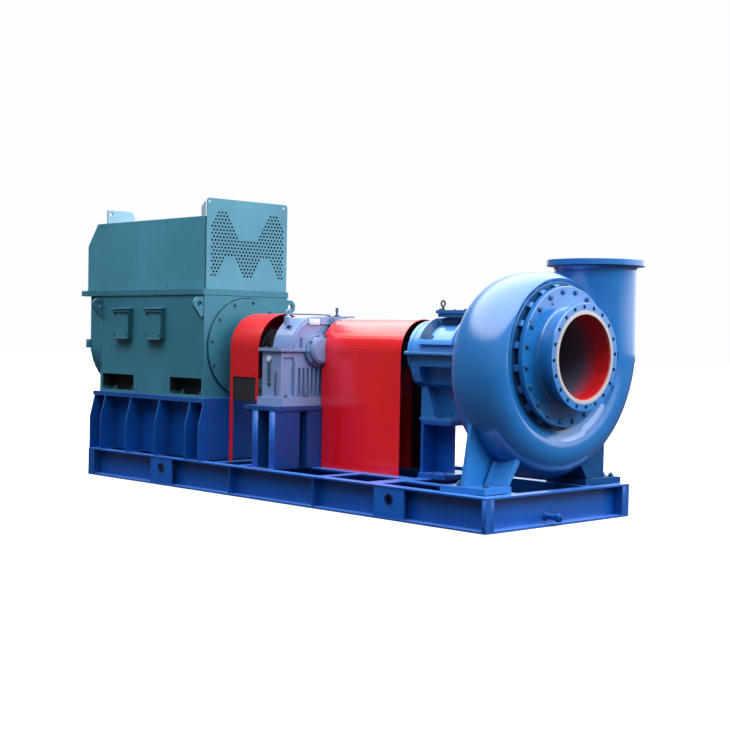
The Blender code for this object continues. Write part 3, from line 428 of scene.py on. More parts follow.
class Maker:
    """Gathers the shapes of one piece and makes it an object that rides on the set."""

    def __init__(self):
        self.mesh = bmesh.new()

    def block(self, x, y, z, soften=0.0):
        """A box between two places on each axis, with softened edges if asked."""
        x, y, z = sorted(x), sorted(y), sorted(z)
        made = bmesh.ops.create_cube(self.mesh, size=1.0)["verts"]
        for vert in made:
            vert.co = Vector((x[vert.co.x > 0], y[vert.co.y > 0], z[vert.co.z > 0]))
        if soften:
            edges = list({edge for vert in made for edge in vert.link_edges})
            bmesh.ops.bevel(self.mesh, geom=edges, offset=soften, segments=2, profile=0.5, affect="EDGES")

    def skin(self, rings):
        """Faces along rings of corners, closed at both ends."""
        for a, b in zip(rings, rings[1:]):
            for k in range(len(a)):
                j = (k + 1) % len(a)
                self.mesh.faces.new((a[k], a[j], b[j], b[k]))
        self.mesh.faces.new(rings[0])
        self.mesh.faces.new(rings[-1])

    def plate(self, outline, axis, start, end):
        """An outline in the other two coordinates, pushed along an axis."""
        place = {"X": lambda p, t: (t, p[0], p[1]), "Y": lambda p, t: (p[0], t, p[1]),
                 "Z": lambda p, t: (p[0], p[1], t)}[axis]
        self.skin([[self.mesh.verts.new(place(point, end)) for point in outline] for end in (start, end)])

    def turn(self, profile, centre, axis=Z, steps=24, first=0.0, sweep=2 * pi):
        """A profile of (along, radius) points turned about an axis through a centre."""
        matrix = Matrix.Translation(centre) @ turned_to(axis)
        rings = []
        whole = sweep > 6.28
        for along, radius in profile:
            count = 1 if radius == 0 else (steps if whole else steps + 1)
            spots = arc(0, 0, radius, [first + sweep * k / steps for k in range(count)])
            rings.append([self.mesh.verts.new(matrix @ Vector((*spot, along))) for spot in spots])
        pairs = list(zip(rings, rings[1:]))
        if profile[0][1] > 0:
            pairs.append((rings[-1], rings[0]))
        for a, b in pairs:
            for k in range(steps):
                j = (k + 1) % steps if whole else k + 1
                corners = dict.fromkeys((a[k % len(a)], b[k % len(b)], b[j % len(b)], a[j % len(a)]))
                if len(corners) > 2:
                    self.mesh.faces.new(list(corners))
        if not whole and profile[0][1] > 0:
            self.mesh.faces.new([ring[0] for ring in rings])
            self.mesh.faces.new([ring[-1] for ring in rings])

    def tube(self, points, radius, steps=8):
        """A round rod along straight runs between points, closed at both ends."""
        points = [Vector(p) for p in points]
        rings = []
        side = None
        for i, point in enumerate(points):
            ahead = points[min(i + 1, len(points) - 1)] - points[max(i - 1, 0)]
            ahead.normalize()
            side = (side - ahead * side.dot(ahead) if side else ahead.orthogonal()).normalized()
            across = ahead.cross(side)
            rings.append([self.mesh.verts.new(point + radius * (side * cos(t) + across * sin(t)))
                          for t in turns(steps)])
        self.skin(rings)

    def bolt(self, spot, axis=Z, size=0.016, stud=False, washer=True, turn=0.0):
        """A hexagon head or nut on a washer, with the end of its stud if asked."""
        spot = Vector(spot)
        foot = 0.0
        if washer:
            foot = size * 0.16
            self.turn([(0, 0), (0, size * 1.05), (foot, size * 1.05), (foot, 0)], spot, axis, 16)
        top = foot + size * 0.7
        self.turn([(foot, 0), (foot, size * 0.87), (top - size * 0.1, size * 0.87), (top, size * 0.74),
                   (top, 0)], spot, axis, 6, turn)
        if stud:
            tip = top + size * 0.45
            self.turn([(top, 0), (top, size * 0.5), (tip - size * 0.12, size * 0.5), (tip, size * 0.38),
                       (tip, 0)], spot, axis, 12)

    def bolts(self, x, y, z, axis, size, *how, **more):
        """Bolts wherever given places along, across and up meet."""
        for spot in product(x, y, z):
            self.bolt(spot, axis, size, *how, **more)

    def ring_of_bolts(self, centre, axis, radius, count, size, first=0.0, **how):
        """Bolts spaced evenly on a circle, from a first angle in degrees."""
        matrix = turned_to(axis)
        for turn in turns(count, radians(first)):
            spot = Vector(centre) + matrix @ Vector((radius * cos(turn), radius * sin(turn), 0))
            self.bolt(spot, axis, size, turn=turn, **how)

    def eyebolt(self, spot, axis, loop, wire, shank):
        """A lifting eye: collar, shank and ring."""
        spot = Vector(spot)
        self.turn([(0, 0), (0, wire * 2.3), (shank * 0.3, wire * 1.9), (shank, wire), (shank, 0)], spot, axis,
                  16)
        profile = [(along, out) for out, along in arc(loop, 0, wire, turns(10))]
        self.turn(profile, spot + axis * (shank + loop), X, 24)

    def done(self, name, finish, slot=None, smooth=True, stands_for=()):
        """Make the piece of what was gathered, and paint it."""
        bmesh.ops.recalc_face_normals(self.mesh, faces=self.mesh.faces)
        bmesh.ops.translate(self.mesh, verts=self.mesh.verts, vec=SHIFT)
        data = bpy.data.meshes.new(name)
        self.mesh.to_mesh(data)
        self.mesh.free()
        data.materials.append(named_finish(finish))
        if smooth:
            smoothed(data)
        return placed(name, data, stands_for)


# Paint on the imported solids

def paint_solids():
    """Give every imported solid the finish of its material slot."""
    finishes = {"base_blue": "frame_paint", "pump_blue": "pump_paint", "motor_green": "motor_paint",
                "guard_red": "guard_paint", "gearbox_grey": "gearbox_paint", "liner_red": "liner",
                "ring_grey": "ring_face", "dark_steel": "dark_steel"}
    slots = {row["node"]: row["material_slot"] for row in frame["record"]["subparts"]}
    special = {"impeller_eye": "wet_iron", "cooler_box": "cooler_paint_lit", "gearbox_pedestal": "shaded_frame",
               "pump_foot_near": "pump_dull", "pump_foot_far": "pump_far_shade"}
    special.update({name: "pad_paint_lit" for name in frame["nodes"] if name.startswith("lifting_pad")})
    for name, solid in frame["nodes"].items():
        material = named_finish(special.get(name) or finishes[slots[name]])
        if not solid.data.materials:
            solid.data.materials.append(material)
        for slot in solid.material_slots:
            slot.material = material


# Cooler and motor

# Spans of holes in each row of the grille, counted from the near side: the left arm or leg and half of
# the middle. The far half mirrors them, and None stands for a full row.
GRILLE_ROWS = (((2, 4),), ((1, 4),), ((1, 5),), ((0, 5),), ((0, 6),), ((0, 6),), ((0, 7),), ((0, 7),),
               None, None, None, None, None,
               ((0, 3), (7, 10)), ((0, 3), (8, 11)), ((0, 2), (8, 10)), ((0, 2), (9, 11)), ((0, 1), (9, 10)),
               ((0, 1), (10, 11)))


def grille_spots(top, middle, pitch, rise):
    """Middles of the grille's holes in rows that are shifted by half a pitch."""
    spots = []
    for row, spans in enumerate(GRILLE_ROWS):
        last = 22 - row % 2
        kept = set(range(last + 1)) if spans is None else {
            place for low, high in spans for k in range(low, high + 1) for place in (k, last - k)}
        spots += [(middle + (k - last / 2) * pitch, top - row * rise) for k in sorted(kept)]
    return spots


def outlet_grille():
    """The tall outlet panel with its pattern of round holes, a black sheet behind it as painted shade, and
    folded sides.
    """
    sizes = bpy.context.scene.pump_set_sizes
    low, high = box_of("cooler_outlet_panel")
    near, far = low.y, high.y
    bend = 0.028
    outline = [(near, low.z), (far, low.z)]
    for middle, start in ((far - bend, 0), (near + bend, 90)):
        outline += arc(middle, high.z - bend, bend, [radians(start + 15 * k) for k in range(7)])
    pitch, rise = sizes.hole_pitch, sizes.hole_pitch * 0.8275
    holes = [(spot, sizes.hole_across / 2, 10) for spot in grille_spots(2.402, MOTOR_Y + 0.003, pitch, rise)]
    holes += [((near + 0.03, high.z - 0.031), 0.0125, 16), ((far - 0.045, high.z - 0.031), 0.0125, 16)]
    points = list(outline)
    edges = [(i, (i + 1) % len(outline)) for i in range(len(outline))]
    for (y, z), radius, steps in holes:
        start = len(points)
        points += arc(y, z, radius, turns(steps))
        edges += [(start + k, start + (k + 1) % steps) for k in range(steps)]
    verts, _, faces, _, _, _ = delaunay_2d_cdt([Vector(p) for p in points], edges, [], 1, 1e-6)
    sheet = Maker()
    front, back = high.x, high.x - 0.006
    turned = {}
    for face in faces:
        middle = sum((verts[i] for i in face), Vector((0, 0))) / len(face)
        if any((middle - Vector(spot)).length < radius * 0.9 for spot, radius, _ in holes):
            continue
        for i in face:
            if i not in turned:
                turned[i] = sheet.mesh.verts.new((front, verts[i].x, verts[i].y))
        sheet.mesh.faces.new([turned[i] for i in face])
    pushed = bmesh.ops.extrude_face_region(sheet.mesh, geom=sheet.mesh.faces[:])
    moved = [item for item in pushed["geom"] if isinstance(item, bmesh.types.BMVert)]
    bmesh.ops.translate(sheet.mesh, verts=moved, vec=(back - front, 0, 0))
    sheet.done("outlet_grille", "panel_paint", "motor_green", False, ("cooler_outlet_panel",))

    # A black sheet behind the holes: painted shade inside the cooler.
    dark = Maker()
    dark.block((low.x + 0.001, back - 0.003), (near + 0.018, far - 0.018), (low.z + 0.02, high.z - 0.085))
    dark.done("grille_shade_sheet", "painted_shade_black")

    folds = Maker()
    edge = low.x - 0.058
    for y in (near, far - 0.003):
        folds.plate([(edge, 2.368), (low.x, 2.368), (low.x, high.z - 0.03), (low.x - 0.012, high.z - 0.03),
                     (edge, high.z - 0.075)], "Y", y, y + 0.003)
    folds.done("grille_folds", "pale_plate", "motor_green", False)
    return len(holes)


def cooler_details():
    """Rivets of the cooler, the slats of its end, and the bolts of the ledge under it."""
    low, high = box_of("cooler_box")
    made = Maker()
    for (side, y), x, z in product(((-1, low.y), (1, high.y)), (-2.42, -1.9, -1.38, -0.88),
                                   (low.z + 0.03, 2.335)):
        made.bolt((x, y, z), Y * side, 0.008, washer=False)
    for z in [1.8 + 0.075 * k for k in range(5)]:
        made.plate([(low.x - 0.012, z), (low.x, z + 0.03), (low.x, z - 0.004), (low.x - 0.01, z - 0.004)],
                   "Y", low.y + 0.1, high.y - 0.1)
    made.done("cooler_fasteners", "motor_paint", "motor_green")
    ledge = Maker()
    first, pitch, top = -2.62, 0.1085, 1.7353
    for k, side in product(range(17), SIDES):
        ledge.bolt((first + pitch * k, MOTOR_Y + side * 0.474, top), Z, 0.008, washer=False)
    ledge.done("ledge_bolts", "motor_fastener_shaded", "motor_green")


HATCHES = (-2.003, -1.5)                               # middles of the two hatches
FOOT_SPANS = ((-2.353, -1.85), (-1.296, -0.838))       # recesses round the feet, along the set
FOOT_TOP, RECESS_TOP = 0.8095, 0.9575


def motor_details():
    """Bolts, a seam, covers and hatch lips of the motor, painted shade in its foot recesses, over the
    hatches' sides and in the gap round the drive-end shield, and louvres.
    """
    # A black ring on the drive face is painted shadow in the gap round the shield; the line under the ledge
    # is a dark seam.
    marks = Maker()
    face = DRIVE_FACE + 0.0005
    marks.turn([(0, 0.4365), (0, 0.4425), (0.0012, 0.4425), (0.0012, 0.4365)],
               (face, MOTOR_Y, SHAFT_Z), X, 96)
    marks.block((DRIVE_FACE - 0.002, DRIVE_FACE + 0.0008), (BODY_NEAR, MOTOR_Y + BODY_HALF), (1.6825, 1.6855))
    marks.done("motor_seam_shade", "painted_shade_black")

    made = Maker()
    shield = DRIVE_FACE + 0.0225
    made.ring_of_bolts((shield, MOTOR_Y, SHAFT_Z), X, 0.404, 12, 0.014, 22)
    made.ring_of_bolts((shield, MOTOR_Y, SHAFT_Z), X, 0.19, 8, 0.012, 10)
    made.ring_of_bolts((FAN_FACE, MOTOR_Y, SHAFT_Z), -X, 0.4, 12, 0.012, 15)
    for middle in HATCHES:
        made.bolts((middle - 0.098, middle + 0.098), (BODY_NEAR - 0.04,), (1.515, 1.33), -Y, 0.01)
    for (start, end), side, part in product(FOOT_SPANS, SIDES, (0.22, 0.78)):
        made.bolt((start + (end - start) * part, MOTOR_Y + side * 0.395, FOOT_TOP), Z, 0.03, True)
    made.done("motor_bolts", "motor_fastener_shaded", "motor_green")

    covers, lips = Maker(), Maker()
    for middle in HATCHES:
        covers.plate([(BODY_NEAR - 0.002, 1.566), (BODY_NEAR - 0.002, 1.572), (BODY_NEAR - 0.066, 1.566),
                      (BODY_NEAR - 0.066, 1.56)], "X", middle - 0.132, middle + 0.132)
        lips.plate([(BODY_NEAR - 0.041, 1.3), (BODY_NEAR - 0.041, 1.288), (BODY_NEAR - 0.066, 1.284),
                    (BODY_NEAR - 0.066, 1.292)], "X", middle - 0.12, middle + 0.12)
    for side in SIDES:
        covers.block((-2.392, -2.372), (MOTOR_Y + side * 0.4755, MOTOR_Y + side * 0.479), (1.0, 1.48), 0.001)
    covers.block((-2.664, -2.61), (MOTOR_Y - 0.462, MOTOR_Y - 0.425), (1.195, 1.275), 0.004)
    covers.done("motor_covers", "motor_paint", "motor_green")
    # Thin strips over the hatches' sides are, like the lips under them, in the darker fastener paint: painted
    # shade.
    for node in ("motor_hatch_1", "motor_hatch_2"):
        low, high = box_of(node)
        lips.block((high.x + 0.0002, high.x + 0.0014), (low.y + 0.004, high.y - 0.001),
                   (low.z + 0.006, high.z - 0.006))
    lips.done("hatch_lips_and_shade", "motor_fastener_shaded", "motor_green")

    shade = Maker()
    for (start, end), side in product(FOOT_SPANS, SIDES):
        inner, wall, outer = (MOTOR_Y + side * out for out in (0.352, 0.354, 0.47))
        shade.block((start + 0.001, end - 0.001), (inner, wall), (FOOT_TOP, RECESS_TOP))
        shade.block((start + 0.001, end - 0.001), (wall, outer), (RECESS_TOP - 0.002, RECESS_TOP))
        shade.block((start + 0.0005, start + 0.0015), (wall, outer), (0.84, RECESS_TOP))
    shade.done("recess_shade", "painted_shade_black")

    louvres = Maker()
    for k in range(14):
        z = 0.9 + 0.04 * k
        half = sqrt(max(0.0, 0.345 ** 2 - (z - SHAFT_Z + 0.04) ** 2))
        if half > 0.05:
            root, tip = FAN_FACE + 0.002, FAN_FACE - 0.016
            louvres.plate([(root, z), (root, z + 0.026), (tip, z + 0.004), (tip, z)], "Y",
                          MOTOR_Y - half, MOTOR_Y + half)
    louvres.turn([(0, 0.352), (0, 0.376), (0.014, 0.372), (0.014, 0.356)],
                 (FAN_FACE, MOTOR_Y, SHAFT_Z), -X, 56)
    louvres.done("fan_louvres", "motor_paint", "motor_green")


# Guards

def guard_details():
    """Screws of the red guards, near-black red inside them as painted shade, a black sheet of painted shade
    in the window, and bolts of the couplings.
    """
    screws = Maker()
    for x, side in product((0.23, 0.5, 0.77, 1.0), SIDES):
        screws.bolt((x, side * 0.2683, 0.282), Y * side, 0.007)
    for x, side in product((-0.6, -0.33), SIDES):
        screws.bolt((x, MOTOR_Y + side * 0.3035, 1.04), Y * side, 0.01)
    screws.done("guard_screws", "guard_paint", "guard_red")
    # Near-black skins inside the guard: painted shade.
    inside = Maker()
    start, end, skin = 0.7, 1.058, 0.2613
    for side in SIDES:
        inside.block((start, end), (side * skin, side * (skin - 0.001)), (DECK + 0.0015, SHAFT_Z))
    inside.turn([(0, skin), (0, skin - 0.001), (end - start, skin - 0.001), (end - start, skin)],
                (start, 0, SHAFT_Z), X, 32, 0.0, pi)
    inside.done("guard_shade_lining", "guard_inside_shade", "guard_red")
    # A black sheet in the guard's window: painted shade.
    mesh = Maker()
    for side in SIDES:
        mesh.block((-0.618, -0.316), (MOTOR_Y + side * 0.2955, MOTOR_Y + side * 0.2965), (0.783, 0.99))
    mesh.done("guard_window_shade", "painted_shade_black", "guard_red")
    hubs = Maker()
    for x, y, radius, count in ((-0.47, MOTOR_Y, 0.16, 8), (0.48, 0.0, 0.193, 10)):
        hubs.ring_of_bolts((x, y, SHAFT_Z), -X, radius, count, 0.014)
    hubs.done("coupling_bolts", "zinc", "dark_steel")


# Gearbox

def gearbox_details():
    """Bolts, cast ribs, lifting eye, pipes, inspection lid and level gauge of the gearbox."""
    bolts = Maker()
    cap = GEAR_FACE + 0.025 + 0.0143
    bolts.ring_of_bolts((cap, MOTOR_Y, SHAFT_Z), X, 0.116, 8, 0.0175, 10, washer=False)
    for y, x, side in product((-0.64, -0.56, 0.06, 0.17, 0.28), (GEAR_FACE + 0.013, -0.143), (1, -1)):
        bolts.bolt((x, y, SHAFT_Z + side * 0.013), Z * side, 0.011)
    bolts.bolts((-0.075, 0.055), (-0.693, 0.333), (SHAFT_Z + 0.013,), Z, 0.011)
    bolts.bolts((-0.148, 0.125), (-0.64, -0.42, -0.16, 0.1, 0.29), (0.8353,), Z, 0.022, True)
    bolts.done("gearbox_bolts", "gearbox_fastener_shaded", "gearbox_grey")

    made = Maker()
    dome_face = GEAR_FACE - 0.008
    made.turn([(0, 0.222), (0, 0.238), (0.01, 0.235), (0.01, 0.225)],
              (dome_face, MOTOR_Y - 0.02, SHAFT_Z + 0.012), X, 18, radians(96), radians(80))
    made.block((dome_face - 0.002, dome_face + 0.012), (-0.25, 0.02), (1.442, 1.456), 0.002)
    made.turn([(0, 0), (0, 0.034), (0.07, 0.03), (0.078, 0.022), (0.078, 0)], (-0.012, -0.512, 1.43), Z, 20)
    made.block((-0.1, 0.09), (0.0, 0.17), (1.506, 1.52), 0.004)
    made.eyebolt((-0.012, -0.512, 1.5), Z, 0.022, 0.0065, 0.014)
    made.turn([(0, 0), (0, 0.098), (0.008, 0.095), (0.008, 0)], (GEAR_FACE + 0.0753, MOTOR_Y, SHAFT_Z), X, 40)
    for k in range(6):
        y = -0.512 + 0.048 * k
        made.block((GEAR_FACE - 0.016, GEAR_FACE + 0.01), (y - 0.006, y + 0.01), (0.846, 1.085), 0.003)
    made.plate([(-0.545, 0.836), (-0.525, 0.836), (-0.525, 1.1), (-0.535, 1.12), (-0.545, 1.1)], "X",
               GEAR_FACE - 0.001, GEAR_FACE + 0.02)
    made.done("gearbox_castings", "gearbox_paint", "gearbox_grey")

    pipes = Maker()
    pipes.tube([(-0.06, -0.47, 1.5), (-0.04, -0.46, 1.526), (0.06, -0.25, 1.526), (0.085, -0.13, 1.524),
                (0.085, -0.115, 1.5)], 0.006)
    pipes.tube([(0.046, -0.686, 1.05), (0.046, -0.692, 1.036), (0.046, -0.692, 0.87), (0.046, -0.68, 0.85)],
               0.006)
    pipes.tube([(0.12, -0.115, 1.5), (0.128, -0.15, 1.44), (0.126, -0.135, 1.385), (0.118, -0.12, 1.37)],
               0.013)
    pipes.turn([(0, 0), (0, 0.02), (0.022, 0.02), (0.022, 0.01), (0.05, 0.01), (0.05, 0.014), (0.082, 0.012),
                (0.082, 0)], (0.04, 0.0, 1.507), Z, 12)
    pipes.done("gearbox_pipes", "gearbox_fastener_shaded", "gearbox_grey")

    lid = Maker()
    lid.block((0.0988, 0.113), (-0.382, -0.262), (1.438, 1.488), 0.003)
    lid.done("inspection_lid", "pale_cover", "gearbox_grey")
    gauge = Maker()
    gauge.block((-0.062, -0.026), (-0.688, -0.68), (0.955, 1.125), 0.003)
    gauge.tube([(-0.044, -0.692, 0.962), (-0.044, -0.692, 1.118)], 0.0085, 10)
    gauge.turn([(0, 0), (0, 0.018), (0.012, 0.018), (0.016, 0.012), (0.016, 0)], (-0.04, -0.68, 0.95), -Y, 16)
    gauge.done("level_gauge_body", "gearbox_fastener_shaded", "gearbox_grey")
    glass = Maker()
    glass.turn([(0, 0), (0, 0.024), (0.014, 0.022), (0.014, 0)], (-0.04, -0.68, 1.152), -Y, 16)
    glass.done("level_gauge_glass", "sight_glass")


# Bearing frame

def bearing_details():
    """Lifting eye, bolts and rounded joint flange of the bearing frame, and its window walls in a darker
    paint as painted shade.
    """
    eye = Maker()
    eye.eyebolt((1.318, -0.062, 1.567), Z, 0.022, 0.007, 0.03)
    eye.done("bearing_eyebolt", "dark_steel", "dark_steel")
    made = Maker()
    made.bolts((1.31, 1.575), (-0.088, 0.088), (1.567,), Z, 0.012)
    made.bolts((1.19, 1.34, 1.49, 1.61), (-0.27, 0.27), (SHAFT_Z - 0.0145,), -Z, 0.01)
    edge = SHAFT_Z + 0.0135
    flange = Maker()
    for side in SIDES:
        flange.plate([(side * 0.25, edge + 0.003), (side * 0.27, edge + 0.003), (side * 0.279, edge - 0.001),
                      (side * 0.285, edge - 0.01), (side * 0.287, edge - 0.024), (side * 0.283, edge - 0.029),
                      (side * 0.25, edge - 0.029)], "X", 1.116, 1.641)
    flange.done("bearing_flange", "pump_paint", "pump_blue")
    # Strips in a darker paint on the window's walls: painted shade.
    window = Maker()
    for side, first in ((-1, 102), (1, 25)):
        window.turn([(1.259, 0.2825), (1.302, 0.2262), (1.304, 0.227), (1.2605, 0.2838)],
                    PUMP_AXIS, X, 12, radians(first), radians(53))
        outline = [(side * radius * cos(radians(turn)), SHAFT_Z + radius * sin(radians(turn)))
                   for radius, turn in ((0.2262, 75.6), (0.2825, 77.9), (0.2825, 77.3), (0.2262, 75.0))]
        window.plate(outline, "X", 1.3, 1.56)
    window.done("window_wall_shade", "pump_shade", "pump_blue", False)
    made.ring_of_bolts((1.12, 0.0, SHAFT_Z), -X, 0.222, 10, 0.014, 9)
    for side in SIDES:
        for z, x in ((1.335, 1.312), (1.358, 1.312), (1.335, 1.54)):
            out = sqrt(0.225 ** 2 - (z - SHAFT_Z) ** 2)
            made.bolt((x + 0.012, side * out, z), Vector((0, side * out, z - SHAFT_Z)).normalized(), 0.012)
        for x in (1.38, 1.5):
            made.bolt((x, side * 0.135, 0.745), Z, 0.018, True)
            made.bolt((x - 0.02, side * 0.182, 0.2905), Z, 0.014)
    made.done("bearing_bolts", "pump_fastener_shaded", "pump_blue")


# Pump

CASE_X = 2.19                  # middle plane of the casing and of the discharge pipe
PIPE_Y, PIPE_R = 0.72, 0.317
PIPE_CIRCLE = 0.352            # radius of the bolt circle of the discharge flange
PIPE_SPLIT = 1.56              # height at which the casing has become the pipe
CASE_SPREAD = ((0, 0.604), (30, 0.616), (60, 0.626), (90, 0.633), (120, 0.641), (150, 0.688), (180, 0.758),
               (210, 0.822), (270, 0.912), (300, 0.965), (330, 1.006), (360, 1.037))


def spiral_radius(angle, reach=24):
    """Outer radius of the spiral at an angle in degrees, averaged so that it has no corners."""
    def given(spot):
        for (a, ra), (b, rb) in zip(CASE_SPREAD, CASE_SPREAD[1:]):
            if spot <= b:
                return ra + (rb - ra) * (spot - a) / (b - a)
        return CASE_SPREAD[-1][1]
    reach = min(reach, angle, 360 - angle)
    return sum(given(angle + reach * (k - 6) / 6) for k in range(13)) / 13


def casing_and_pipe():
    """The volute run smoothly into its pipe and flange, with the back plate and a bored outlet."""
    sizes = bpy.context.scene.pump_set_sizes
    made = Maker()
    steps = 88
    inner, ridge_x, ridge, collar_x, collar = 0.43, 2.447, 0.62, 2.41, 0.545

    def section(angle, rise):
        outer = spiral_radius(angle)
        blend = min(1.0, rise / (PIPE_SPLIT - SHAFT_Z))
        radial, middle = (outer - inner) / 2, (outer + inner) / 2
        wide = 0.25 + (PIPE_R - 0.25) * max(0.0, (angle - 180) / 180) ** 2
        radial += (PIPE_R - radial) * blend
        middle += (PIPE_Y - middle) * blend
        turn = radians(angle)
        ring = []
        for around in turns(steps):
            reach = middle + radial * cos(around)
            along = CASE_X + wide * sin(around)
            if rise == 0 and reach < ridge:
                share = max(0.0, (reach - collar) / (ridge - collar))
                along = min(along, collar_x + (ridge_x - collar_x) * share - 0.004)
            ring.append(made.mesh.verts.new((along, reach * cos(turn), SHAFT_Z + reach * sin(turn) + rise)))
        return ring

    def circle(radius, z):
        return [made.mesh.verts.new((x, y, z)) for y, x in arc(PIPE_Y, CASE_X, radius, turns(steps))]

    rings = [section(angle, 0) for angle in range(6, 361, 2)]
    rings += [section(360, (PIPE_SPLIT - SHAFT_Z) * k / 8) for k in range(1, 9)]
    for radius, z in ((PIPE_R, 1.89), (0.319, 1.905), (0.326, 1.916), (0.341, 1.922), (0.374, 1.922),
                      (0.377, 1.925), (0.377, 1.967), (0.374, 1.97), (0.2875, 1.97), (0.285, 1.9675),
                      (0.285, 1.372)):
        rings.append(circle(radius, z))
    made.skin(rings)
    shell = made.done("casing_shell", "pump_paint", "pump_blue", True, ("pump_casing", "discharge_pipe"))
    count = sizes.flange_bolts
    holes = arc(CASE_X, PIPE_Y, PIPE_CIRCLE, turns(count, pi / count))
    drill(shell, [((x, y, 1.915), Z) for x, y in holes], radius=0.0135, depth=0.08)

    core = Maker()
    core.turn([(1.87, 0), (1.87, 0.455), (1.875, 0.46), (2.3, 0.575), (2.385, 0.557), (2.4095, 0.5455),
               (2.41, 0.545), (2.41, 0.3383), (2.06, 0.3383), (2.06, 0)], PUMP_AXIS, X, 144)
    core.done("casing_back", "pump_paint", "pump_blue")


def drill(piece, spots, radius, depth):
    """Cut round holes into a piece, each from a spot along an axis."""
    drills = Maker()
    for spot, axis in spots:
        drills.turn([(0, 0), (0, radius), (depth, radius), (depth, 0)], spot, axis, 16)
    cutter = drills.done(piece.name + "_drills", "painted_shade_black")
    step = piece.modifiers.new("holes", "BOOLEAN")
    step.operation = "DIFFERENCE"
    step.solver = "EXACT"
    step.object = cutter
    bpy.context.view_layer.update()
    holed = bpy.data.meshes.new_from_object(piece.evaluated_get(bpy.context.evaluated_depsgraph_get()))
    piece.modifiers.clear()
    piece.data = holed
    bpy.data.objects.remove(cutter)
    smoothed(holed)


def rounded_copy(node, finish):
    """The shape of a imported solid, shaded as the round casting or bent sheet that it is."""
    solid = frame["nodes"][node]
    data = solid.data.copy()
    data.name = node + "_round"
    data.materials.clear()
    data.materials.append(named_finish(finish))
    smoothed(data)
    placed(node + "_round", data, (node,))


ROUND_PARTS = {
    ("bearing_paint", "pump_blue"): ("bearing_housing",),
    ("pump_paint", "pump_blue"): ("bearing_lid", "shaft_gland"),
    ("dark_steel", "dark_steel"): ("pump_coupling", "motor_coupling"),
    ("guard_dull", "guard_red"): ("coupling_guard_motor",),
    ("guard_paint", "guard_red"): ("coupling_guard_pump",),
    ("gearbox_paint", "gearbox_grey"): ("gearbox_upper", "gearbox_cap_input_end"),
    ("motor_paint", "motor_green"): ("motor_endshield", "motor_fan_housing", "motor_lug_near_drive",
                                     "motor_lug_far_drive", "motor_lug_near_fan", "motor_lug_far_fan"),
    ("pale_plate", "motor_green"): ("cooler_ear_plate",),
    ("frame_paint", "base_blue"): ("drain_pipe",),
}


def suction_cover():
    """The cover, neck and flange on the suction side, with real bolt holes round the flange."""
    sizes = bpy.context.scene.pump_set_sizes
    collar, back, front = 2.4103, 2.445, COVER_FACE
    neck, flange, face = 2.504, 2.602, 2.646
    bore = 0.338
    body = Maker()
    body.turn([(collar, bore), (collar, 0.46), (back, 0.46), (back, 0.51), (back + 0.005, 0.515),
               (front - 0.005, 0.515), (front, 0.51), (front, 0.372), (front + 0.005, 0.36),
               (neck, 0.352), (flange - 0.008, 0.352), (flange - 0.002, 0.357), (flange, 0.368),
               (flange, 0.378), (flange + 0.004, 0.387), (flange + 0.012, 0.39), (face - 0.003, 0.39),
               (face, 0.387), (face, bore)], PUMP_AXIS, X, 120, radians(1.7))
    cover = body.done("suction_cover_body", "pump_paint", "pump_blue", True, ("suction_cover",))
    holes = arc(0, SHAFT_Z, sizes.flange_circle, turns(sizes.flange_bolts, radians(3.6)))
    drill(cover, [((flange - 0.01, y, z), X) for y, z in holes], radius=0.0155, depth=0.08)


def suction_lining():
    """The red liner run out to the flange, with the thin grey sealing face over its end."""
    liner = Maker()
    liner.turn([(2.15, 0.3035), (2.15, 0.337), (2.6385, 0.337), (2.6385, 0.3095), (2.635, 0.304)],
               PUMP_AXIS, X, 120)
    liner.done("suction_liner_round", "liner", "liner_red", True, ("suction_liner",))
    ring = Maker()
    ring.turn([(2.639, 0.3095), (2.639, 0.3377), (2.6465, 0.3377), (2.648, 0.3362), (2.648, 0.311),
               (2.6465, 0.3095)],
              PUMP_AXIS, X, 120)
    ring.done("suction_ring_face", "ring_face", "ring_grey", True, ("suction_ring",))


def cover_bolts():
    """Bolts of the suction cover, the lugs round it in a slightly lighter paint as painted highlight, and
    painted shade in the groove behind them.
    """
    sizes = bpy.context.scene.pump_set_sizes
    heads = Maker()
    heads.ring_of_bolts((COVER_FACE, 0.0, SHAFT_Z), X, sizes.cover_circle, 20, 0.0215, 9, washer=False)
    for angle, radius in ((117, 0.425), (215, 0.455), (226, 0.44), (150, 0.505), (188, 0.505)):
        turn = radians(angle)
        heads.bolt((COVER_FACE, radius * cos(turn), SHAFT_Z + radius * sin(turn)), X, 0.01,
                   washer=False)
    heads.done("cover_bolts", "pump_fastener_shaded", "pump_blue")
    lugs = Maker()
    for k in range(20):
        lugs.turn([(0, 0.4745), (0, 0.532), (0.024, 0.528), (0.033, 0.52), (0.033, 0.4745)],
                  (2.4116, 0, SHAFT_Z), X, 4, radians(18 * k + 9 - 2.5), radians(5.0))
    lugs.done("cover_lugs", "pump_highlight", "pump_blue")
    # A thin skin in a darker paint lines the groove behind the lugs: painted shade.
    gap = Maker()
    gap.turn([(2.4106, 0.4605), (2.4106, 0.5435), (2.4114, 0.5425), (2.4114, 0.474), (2.4448, 0.474),
              (2.4448, 0.4605)], PUMP_AXIS, X, 120)
    gap.done("cover_groove_shade", "pump_shade", "pump_blue")


